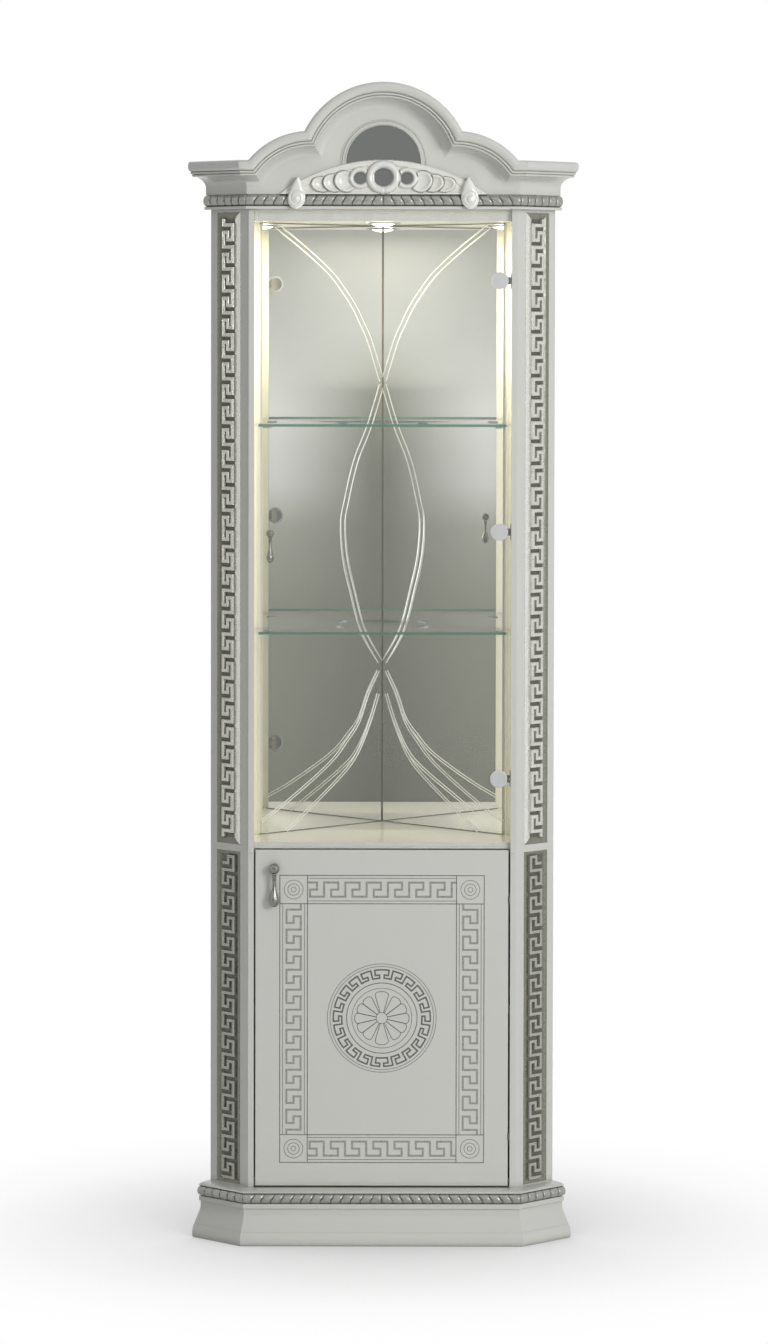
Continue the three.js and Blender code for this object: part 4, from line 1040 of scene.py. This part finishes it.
# %% From relief to mesh
kept = relief > 0
near = kept.copy()
near[1:, :] |= kept[:-1, :]
near[:-1, :] |= kept[1:, :]
near[:, 1:] |= kept[:, :-1]
near[:, :-1] |= kept[:, 1:]
number = -np.ones(relief.shape, int)
number[near] = np.arange(near.sum())
corners = [place(GX[i, j], -FRIEZE_OUT - FIT - relief[i, j], FRIEZE_BOTTOM + GZ[i, j])
           for i, j in zip(*np.nonzero(near))]
faces = []
for i in range(relief.shape[0] - 1):
    for j in range(relief.shape[1] - 1):
        square = [(i, j), (i + 1, j), (i + 1, j + 1), (i, j + 1)]
        if all(near[s] for s in square) and any(kept[s] for s in square):
            faces.append([number[s] for s in square])
carving = Shape().add(corners, faces)
# The crest takes the lighter copy of the lacquer, which is painted light.
carving.become("carved_crest", lit_crest_lacquer, "white_lacquer", ["pediment_crest"], crease=75)

# %% [markdown]
# ## Engraving on the cupboard door
# The door carries a frame of Greek key between double lines, a target in each corner square and a
# medallion. The real lines are cut and filled with silver-grey. Here they are very low strips,
# which catch the light and stay sharp as a painted mask would not.

# %% Engraved lines on the door
LINE, FINE, KEY, MEDAL_KEY, PETAL = 1.6, 1.0, 4.0, 3.0, 1.3
OUT_X, IN_X = 194.0, 141.5
OUT_TOP, OUT_BOTTOM, IN_TOP, IN_BOTTOM = 699.0, 151.0, 645.0, 204.0
LINE_GAP, LINE_RISE, DOOR_FACE = 5.5, 0.26, 0.5
fine_lines, band_keys, medal_keys = Shape(), Shape(), Shape()


def on_door(across, up, height):
    return place(across, DOOR_FACE - height, up)


def door_line(line, width, closed=False, shape=fine_lines):
    strip(shape, line, width, LINE_RISE, on_door, closed, slope=0.15)


frame_corners = ((-1, OUT_BOTTOM), (1, OUT_BOTTOM), (1, OUT_TOP), (-1, OUT_TOP))
door_line([(side * OUT_X, z) for side, z in frame_corners], LINE, True)
for z in (IN_TOP, IN_BOTTOM):
    door_line([(-OUT_X, z), (OUT_X, z)], LINE)
for side in (-1, 1):
    door_line([(side * IN_X, OUT_BOTTOM), (side * IN_X, OUT_TOP)], LINE)
    for x in (OUT_X - LINE_GAP, IN_X + LINE_GAP):
        door_line([(side * x, IN_BOTTOM), (side * x, IN_TOP)], FINE)
for z in (OUT_TOP - LINE_GAP, IN_TOP + LINE_GAP, OUT_BOTTOM + LINE_GAP, IN_BOTTOM - LINE_GAP):
    door_line([(-IN_X, z), (IN_X, z)], FINE)
print(len(fine_lines.faces), "faces in the frame lines")


# %% [markdown]
# The key is one line that never crosses itself. One turn of it is repeated at a fixed pitch, and
# the ends are trimmed where the corner squares begin.

# %% The keys of the frame
KEY_REACH = 13.5
TURN = ((-1, 0), (1, 0), (1, 2 / 3), (0, 2 / 3), (0, 1 / 3), (-1, 1 / 3))
SIDE_PITCH, FIRST_BAR = 38.2, 633.8
LEVEL_PITCH, FIRST_POST = 40.4, -150.4
band_x = (OUT_X + IN_X) / 2
for side in (-1, 1):
    line = [(side * (band_x + u * KEY_REACH), FIRST_BAR - (i + v) * SIDE_PITCH)
            for i in range(-1, 13) for u, v in TURN]
    door_line(trimmed(line, 1, IN_BOTTOM + 1, IN_TOP - 1), KEY, shape=band_keys)
for band_z, flip in (((OUT_TOP + IN_TOP) / 2, 1), ((OUT_BOTTOM + IN_BOTTOM) / 2, -1)):
    line = [(FIRST_POST + (i + v) * LEVEL_PITCH, band_z + flip * u * KEY_REACH)
            for i in range(8) for u, v in TURN]
    door_line(trimmed(line, 0, -IN_X + 1, IN_X - 1), KEY, shape=band_keys)
    for side in (-1, 1):
        for radius in (18.0, 11.0, 4.6):
            door_line(circle_line(side * band_x, band_z, radius, 40), FINE, True)
print(len(band_keys.faces), "faces in the keys")


# %% [markdown]
# The medallion bends the same key round a ring, mirrored about the upright, as degrees from the
# top and a radius. Its rosette is twelve petals between thin spokes. A petal is its angle, half
# its width as an angle, and its reach.

# %% The medallion
MEDAL_Z = 427.0
for radius, width in ((103.4, FINE), (98.4, FINE), (67.0, LINE), (57.0, FINE), (10.6, FINE)):
    door_line(circle_line(0.0, MEDAL_Z, radius, 96), width, True)


def round_medal(turn, radius):
    turn = math.radians(turn)
    return radius * math.sin(turn), MEDAL_Z + radius * math.cos(turn)


OUTER, MIDDLE, INNER = 92.2, 82.2, 76.2
FIRST_RISER, MEDAL_PITCH, LAST_RISER = 13.3, 17.04, 166.7
half_ring = [(0.0, OUTER), (8.6, OUTER), (8.6, MIDDLE), (3.2, MIDDLE), (3.2, INNER)]
for i in range(9):
    riser = FIRST_RISER + MEDAL_PITCH * i
    half_ring += [(riser, INNER), (riser, OUTER), (riser + 12.4, OUTER),
                  (riser + 12.4, MIDDLE), (riser + 5.8, MIDDLE), (riser + 5.8, INNER)]
half_ring += [(LAST_RISER, INNER), (LAST_RISER, OUTER), (177.6, OUTER), (177.6, 86.2),
              (172.0, 86.2), (172.0, INNER), (180.0, INNER)]
for side in (-1, 1):
    fine_line = []
    for (t0, r0), (t1, r1) in zip(half_ring, half_ring[1:]):
        pieces = max(1, round(abs(t1 - t0) / 3))
        fine_line += [(t0 + (t1 - t0) * k / pieces, r0 + (r1 - r0) * k / pieces)
                      for k in range(pieces)]
    fine_line.append(half_ring[-1])
    door_line([round_medal(side * t, r) for t, r in fine_line], MEDAL_KEY, shape=medal_keys)

HUB, PETAL_END = 10.5, 8.0
petals = [(0.0, 16.3, 50.8), (39.6, 13.4, 48.6), (65.6, 12.6, 50.2), (90.6, 12.4, 51.8),
          (115.2, 12.2, 50.2), (140.6, 13.4, 48.6), (180.0, 16.3, 50.8)]
for turn, half, reach in petals + [(-t, h, r) for t, h, r in petals[1:-1]]:
    outline = [round_medal(turn - half, HUB)]
    for k in range(13):
        a = math.pi * k / 12
        bulge = reach - PETAL_END + PETAL_END * math.sin(a) ** 0.6
        outline.append(round_medal(turn - half * math.cos(a), bulge))
    door_line(outline + [round_medal(turn + half, HUB)], PETAL)
for name, lines, inlay in (("door_fine_lines", fine_lines, line_inlay),
                           ("door_medal_keys", medal_keys, dark_inlay),
                           ("door_band_keys", band_keys, band_inlay)):
    lines.become(name, inlay, "silver_leaf", body="cupboard_door", crease=20)

# %% [markdown]
# ## Ribbons cut in the mirrors
# Each mirror is cut with a double-edged ribbon that swings in to the corner, out again and down,
# so that with the other mirror it draws a tall vase. Its wheel-cut grooves are low frosted strips
# here, which lie on the pane without touching it. A ribbon is half its width and the points it
# goes through.

# %% Ribbons on the mirrors
MIRROR_BACK = 20.2
GROOVE_WIDTH, GROOVE_RISE = 2.0, 0.5


def on_mirror(side, across, up, height):
    """A place on a mirror's face, from how far across the cabinet it is."""
    corner_depth = REAR_DEPTH - (MIRROR_BACK + height) * math.sqrt(2)
    across = max(across, 0.0)
    return place(side * across, corner_depth - across, up)


def smooth_line(points, steps=14):
    """A smooth line through points, made with Catmull-Rom segments."""
    padded = [points[0]] + points + [points[-1]]
    line = []
    for a, b, c, d in zip(padded, padded[1:], padded[2:], padded[3:]):
        for k in range(steps):
            t = k / steps
            line.append(tuple(0.5 * (2 * q + (r - p) * t + (2 * p - 5 * q + 4 * r - s) * t * t
                                     + (3 * q - p - 3 * r + s) * t ** 3)
                              for p, q, r, s in zip(a, b, c, d)))
    line.append(points[-1])
    return line


ribbon_lines = [
    (4.4, [(204.0, 1934.0), (152.0, 1892.0), (103.0, 1846.0), (75.0, 1809.0), (55.0, 1777.0),
           (39.0, 1743.0), (26.0, 1713.0), (2.0, 1634.0)]),
    (4.4, [(2.0, 1626.0), (27.0, 1543.0), (53.0, 1475.0), (71.0, 1398.0), (78.0, 1354.0),
           (74.0, 1288.0), (60.0, 1222.0), (38.0, 1140.0), (4.0, 1078.0)]),
    (2.2, [(8.0, 1060.0), (28.0, 1016.0), (46.0, 963.0), (68.0, 929.0), (104.0, 885.0),
           (181.0, 822.0), (234.0, 786.0)]),
    (2.2, [(8.0, 1014.0), (25.0, 958.0), (50.0, 899.0), (83.0, 857.0), (163.0, 782.0),
           (186.0, 763.0)]),
]
for hand, side in (("left", -1), ("right", 1)):
    ribbons = Shape()
    for half, points in ribbon_lines:
        for edge in mitred_edges(smooth_line(points), half):
            strip(ribbons, edge, GROOVE_WIDTH, GROOVE_RISE, partial(on_mirror, side), slope=0.9)
    ribbons.become(f"{hand}_mirror_ribbon", cut_mirror, "mirror_glass", crease=8)

# %% [markdown]
# Where the mirrors meet each other, the ceiling and the deck, the edge of the silvering shows as a
# thin dark line.

# %% Dark edges of the mirrors
HALF_PANE = 236.0
mirror_edges = Shape()
for side in (-1, 1):
    on_pane = partial(on_mirror, side)
    for up in (DECK_TOP + 1.0, CEILING - 1.0):
        strip(mirror_edges, [(0.4, up), (HALF_PANE, up)], 1.6, 0.15, on_pane)
    strip(mirror_edges, [(1.0, DECK_TOP + 2.0), (1.0, CEILING - 2.0)], 2.0, 0.15, on_pane)
mirror_edges.become("mirror_edge_lines", seam_grey, "smoked_mirror", crease=20)

# %% [markdown]
# ## Turned pieces
# The hinge caps on the glass are turned: a profile, each point a radius and a height, is spun
# about its own axis with enough steps to look round.

# %% Spinning a profile
CAP_RISE = 4.7


def spun(profile, centre, axis, steps):
    """Rings of a profile of (radius, height) spun about an axis through a centre."""
    axis = Vector(axis).normalized()
    side = axis.orthogonal().normalized()
    other = axis.cross(side)
    rings = []
    for radius, height in profile:
        ring = []
        for k in range(steps):
            a = 2 * math.pi * k / steps
            spoke = side * math.cos(a) + other * math.sin(a)
            ring.append(centre + axis * height * MM + spoke * max(radius, 0.01) * MM)
        rings.append(ring)
    return Shape().skin(rings)


cap_profile = [(0.0, 4.6), (10.0, 4.6), (13.6, 4.45), (14.3, 4.15), (14.6, 3.9), (15.2, 4.2),
               (15.9, 4.1), (16.4, 3.6), (16.5, 2.9), (16.5, 1.1), (0.0, 1.1)]
for level in ("lower", "middle", "upper"):
    low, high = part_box(f"{level}_glass_hinge_cap")
    centre = Vector(((low.x + high.x) / 2, low.y + CAP_RISE * MM, (low.z + high.z) / 2))
    cap = spun(cap_profile, centre, (0, -1, 0), 64)
    cap.become(f"{level}_hinge_button", satin_chrome, "chrome", body="glass_door", crease=25)

# %% [markdown]
# The lens of the spotlight bulges below its ring, so that its glow is seen from far back and again
# in both mirrors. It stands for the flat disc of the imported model.

# %% The bulging lens
low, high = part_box("spotlight_lens")
lens_face = Vector(((low.x + high.x) / 2, (low.y + high.y) / 2, low.z))
lens_profile = [(0.0, 7.4), (6.0, 7.2), (12.0, 6.3), (17.0, 4.9), (20.6, 3.2), (22.8, 1.4),
                (23.8, 0.0), (23.8, -2.8), (0.0, -2.8)]
lens_bulge = spun(lens_profile, lens_face, (0, 0, -1), 48)
lens_bulge.become("lens_bulge", lamp_lens, "lamp_lens", ["spotlight_lens"], crease=30)

# %% [markdown]
# ## Glass edges
# Plate glass looks green only through its edge, so a thin polished strip along the front of each
# shelf carries that colour. The door's glass has a bevel all round, and a fine pale line where its
# slope begins is a painted glint.

# %% Shelf fronts and the bevel of the door
edge_profile = [(0.0, 0.4), (-0.35, 0.9), (-0.35, 5.1), (0.0, 5.6)]
for name in ("upper_glass_shelf", "lower_glass_shelf"):
    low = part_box(name)[0]
    front = low.y / MM - FRONT_PLANE
    rings = [[place(x, front + back, low.z / MM + up) for back, up in edge_profile]
             for x in (-HALF_PANE, HALF_PANE)]
    edge = Shape().skin(rings, closed=False, caps=False)
    edge.become(f"{name}_front", shelf_edge_glass, "clear_glass", crease=20)


GLASS_FACE = 1.0


def on_glass(across, up, height):
    return place(across, GLASS_FACE - height, up)


BEVEL_LEFT, BEVEL_RIGHT, BEVEL_LOW, BEVEL_HIGH = -236.0, 234.0, 755.0, 1955.0
bevel_line = [(BEVEL_LEFT, BEVEL_LOW), (BEVEL_RIGHT, BEVEL_LOW), (BEVEL_RIGHT, BEVEL_HIGH),
              (BEVEL_LEFT, BEVEL_HIGH)]
# A painted glint along the bevel of the door's glass.
bevel_glint = Shape()
strip(bevel_glint, bevel_line, 0.9, 0.12, on_glass, True)
bevel_glint.become("door_bevel_glint", glint_glass, "clear_glass", body="glass_door", crease=20)

# %% [markdown]
# ## Studio
# The photograph is a cut-out on white with a soft grey shadow. The floor is a large pale sheet
# that mostly gives its own white, with a painted shadow from ambient occlusion where the cabinet
# closes it in, and partly shows what the lamps leave there. The world is white to the camera, to
# mirrors and through glass, and dim as a lamp, which keeps the lacquer from clipping.

# %% Floor and world
FLOOR_HALF, AMBIENT = 30, 0.12


def stage_sheet(name, corners):
    """A flat sheet of the studio, which is no part of the cabinet."""
    data = bpy.data.meshes.new(name)
    data.from_pydata(corners, [], [[0, 1, 2, 3]])
    sheet = put_in_scene(name, data)
    return sheet


floor_turns = ((-1, -1), (1, -1), (1, 1), (-1, 1))
floor = stage_sheet("floor", [(x * FLOOR_HALF, y * FLOOR_HALF, 0) for x, y in floor_turns])
sheet = Finish("floor_sheet")
speckle = sheet.grain(2.0, 2.0)
away = sheet.node("ShaderNodeVectorMath", {"operation": "LENGTH"}, {0: sheet.spot()}, 1)
fade = sheet.spread(away, 0.4, 1.1, 0.85, 1.0, "SMOOTHSTEP")
# Painted shadow: ambient occlusion darkens the floor's own white glow near the cabinet.
white_with_painted_shadow = sheet.blend(sheet.openness(0.6, 16), tone(92, 92, 92), tone(255, 255, 255))
matt = sheet.shader({"Base Color": sheet.blend(speckle, tone(250, 250, 250), tone(253, 253, 253)),
                     "Roughness": 0.9})
floor.data.materials.append(sheet.surface(sheet.node(
    "ShaderNodeMixShader", None, {0: fade * sheet.sight(), 1: matt, 2: sheet.glow(white_with_painted_shadow)})))

world = bpy.data.worlds.new("studio")
bpy.context.scene.world = world
air = Finish("studio", world)
level = AMBIENT + (1 - AMBIENT) * air.sight()
sky = air.node("ShaderNodeBackground", None, {"Color": (1, 1, 1, 1), "Strength": level})
air.node("ShaderNodeOutputWorld", None, {"Surface": sky})
print("floor and world")

# %% [markdown]
# ## A card for the mirrors
# Two mirrors at right angles send the view straight back, and in a bare white room they would be
# blank. A graded card hangs there, as in a photographer's studio: bright at eye height, dark
# towards the floor and darker down its middle. Only mirrors, chrome and glass see it.

# %% The graded card
CARD_BACK, CARD_HALF, CARD_FOOT, CARD_TOP = -6.6, 8.0, 0.02, 3.4


def hide_from(thing, *rays):
    for ray in rays:
        setattr(thing, f"visible_{ray}", False)


card = stage_sheet("card", [(-CARD_HALF, CARD_BACK, CARD_FOOT), (CARD_HALF, CARD_BACK, CARD_FOOT),
                            (CARD_HALF, CARD_BACK, CARD_TOP), (-CARD_HALF, CARD_BACK, CARD_TOP)])
hide_from(card, "camera", "diffuse", "transmission", "shadow", "volume_scatter")
graded = Finish("graded_card")
share = graded.spread(graded.axis(2), 0.0, 2.6)


def grey_steps(grades):
    """A ramp of greys up the card, which turn olive as they get darker."""
    return graded.node("ShaderNodeValToRGB", {"stops": [
        (rise, (grade, grade * 1.02, grade * (0.7 + 0.24 * min(1.0, grade / 0.6)), 1.0))
        for rise, grade in grades]}, {"Fac": share})


side_grades = [(0.0, 0.18), (0.3, 0.25), (0.4, 0.38), (0.46, 0.72), (0.56, 0.9), (0.67, 0.6),
               (0.8, 0.44)]
middle_grades = [(0.0, 0.08), (0.48, 0.12), (0.58, 0.23), (0.67, 0.55), (0.8, 0.44)]
beside = abs(graded.axis(0))
off_middle = graded.spread(beside, 0.03, 0.36)
wing = graded.spread(beside, 1.4, 3.0, kind="SMOOTHSTEP")
card_tone = graded.blend(off_middle, grey_steps(middle_grades), grey_steps(side_grades))
card_tone = graded.blend(wing, card_tone, (0.28, 0.28, 0.27, 1.0))
card.data.materials.append(graded.surface(graded.glow(card_tone)))
print("card with", len(side_grades), "and", len(middle_grades), "grades")

# %% [markdown]
# ## Lamps
# A strong soft box stands to the right and in front, weaker ones stand in front and to the left,
# and one hangs above. Only the right one glints. Inside the case a small spotlight and three soft
# glows give the cream light on the ceiling, the shelves and the deck, and are not seen themselves.

# %% Soft boxes and the spotlight
def soft_box(name, spot, aim, size, watts, colour=(1.0, 1.0, 1.0)):
    data = bpy.data.lights.new(name, "AREA")
    give(data, shape="RECTANGLE", size=size[0], size_y=size[1], energy=watts, color=colour)
    lamp = put_in_scene(name, data)
    lamp.location = spot
    lamp.rotation_euler = (Vector(aim) - Vector(spot)).to_track_quat("-Z", "Y").to_euler()
    return lamp


soft_box("right_box", (3.6, -4.7, 2.6), (0.0, 0.0, 1.3), (1.6, 2.2), 172.0)
for lamp in (soft_box("front_box", (0.3, -6.4, 2.3), (0.0, 0.0, 1.6), (2.4, 1.4), 32.0),
             soft_box("left_box", (-5.0, -3.0, 2.0), (0.0, 0.0, 1.2), (1.6, 1.6), 8.0),
             soft_box("top_box", (0.3, -2.4, 4.6), (0.0, -0.4, 0.6), (3.0, 2.0), 20.0)):
    hide_from(lamp, "glossy")

CREAM_LIGHT = (1.0, 0.95, 0.8)
half_way = (DECK_TOP + CEILING) / 2
spot_data = bpy.data.lights.new("spotlight", "SPOT")
give(spot_data, energy=1.1, spot_size=math.radians(150), spot_blend=0.9, shadow_soft_size=0.02,
     color=CREAM_LIGHT)
spotlight = put_in_scene("spotlight", spot_data)
spotlight.location = place(0.0, 135.0, CEILING - 13.0)
inner_lamps = [spotlight]
for name, back, up, aim, size, watts in (
        ("ceiling_glow", 120.0, CEILING - 12.0, place(0.0, 120.0, 0.0), (0.3, 0.12), 2.6),
        ("up_glow", 110.0, CEILING - 330.0, place(0.0, 110.0, 3000.0), (0.26, 0.15), 0.9),
        ("back_glow", 240.0, half_way, place(0.0, -1000.0, half_way), (0.18, 1.1), 1.1)):
    inner_lamps.append(soft_box(name, place(0.0, back, up), aim, size, watts, CREAM_LIGHT))
for lamp in inner_lamps:
    hide_from(lamp, "camera", "glossy", "transmission")
print(len(bpy.data.lights), "lamps")

# %% [markdown]
# ## Camera
# The photograph was taken from well back with a long lens, a little to the left and at eye height.
# The picture plane is almost upright, which a view camera does by sliding the lens, and Blender's
# shift does the same.

# %% The camera
camera_data = bpy.data.cameras.new("camera")
give(camera_data, sensor_width=36.0, lens=119.32, shift_y=-0.14775, clip_end=100.0)
camera = put_in_scene("camera", camera_data)
camera.location = (-0.0095, -8.6, 1.7344)
turned = Matrix.Rotation(-0.0014, 3, "Z")
tipped = Matrix.Rotation(math.pi / 2 - 0.0322, 3, "X")
levelled = Matrix.Rotation(0.0018, 3, "Z")
camera.rotation_euler = (turned @ tipped @ levelled).to_euler()
bpy.context.scene.camera = camera
bpy.context.scene.view_settings.view_transform = "Standard"
print("camera at", [round(v, 4) for v in camera.location])
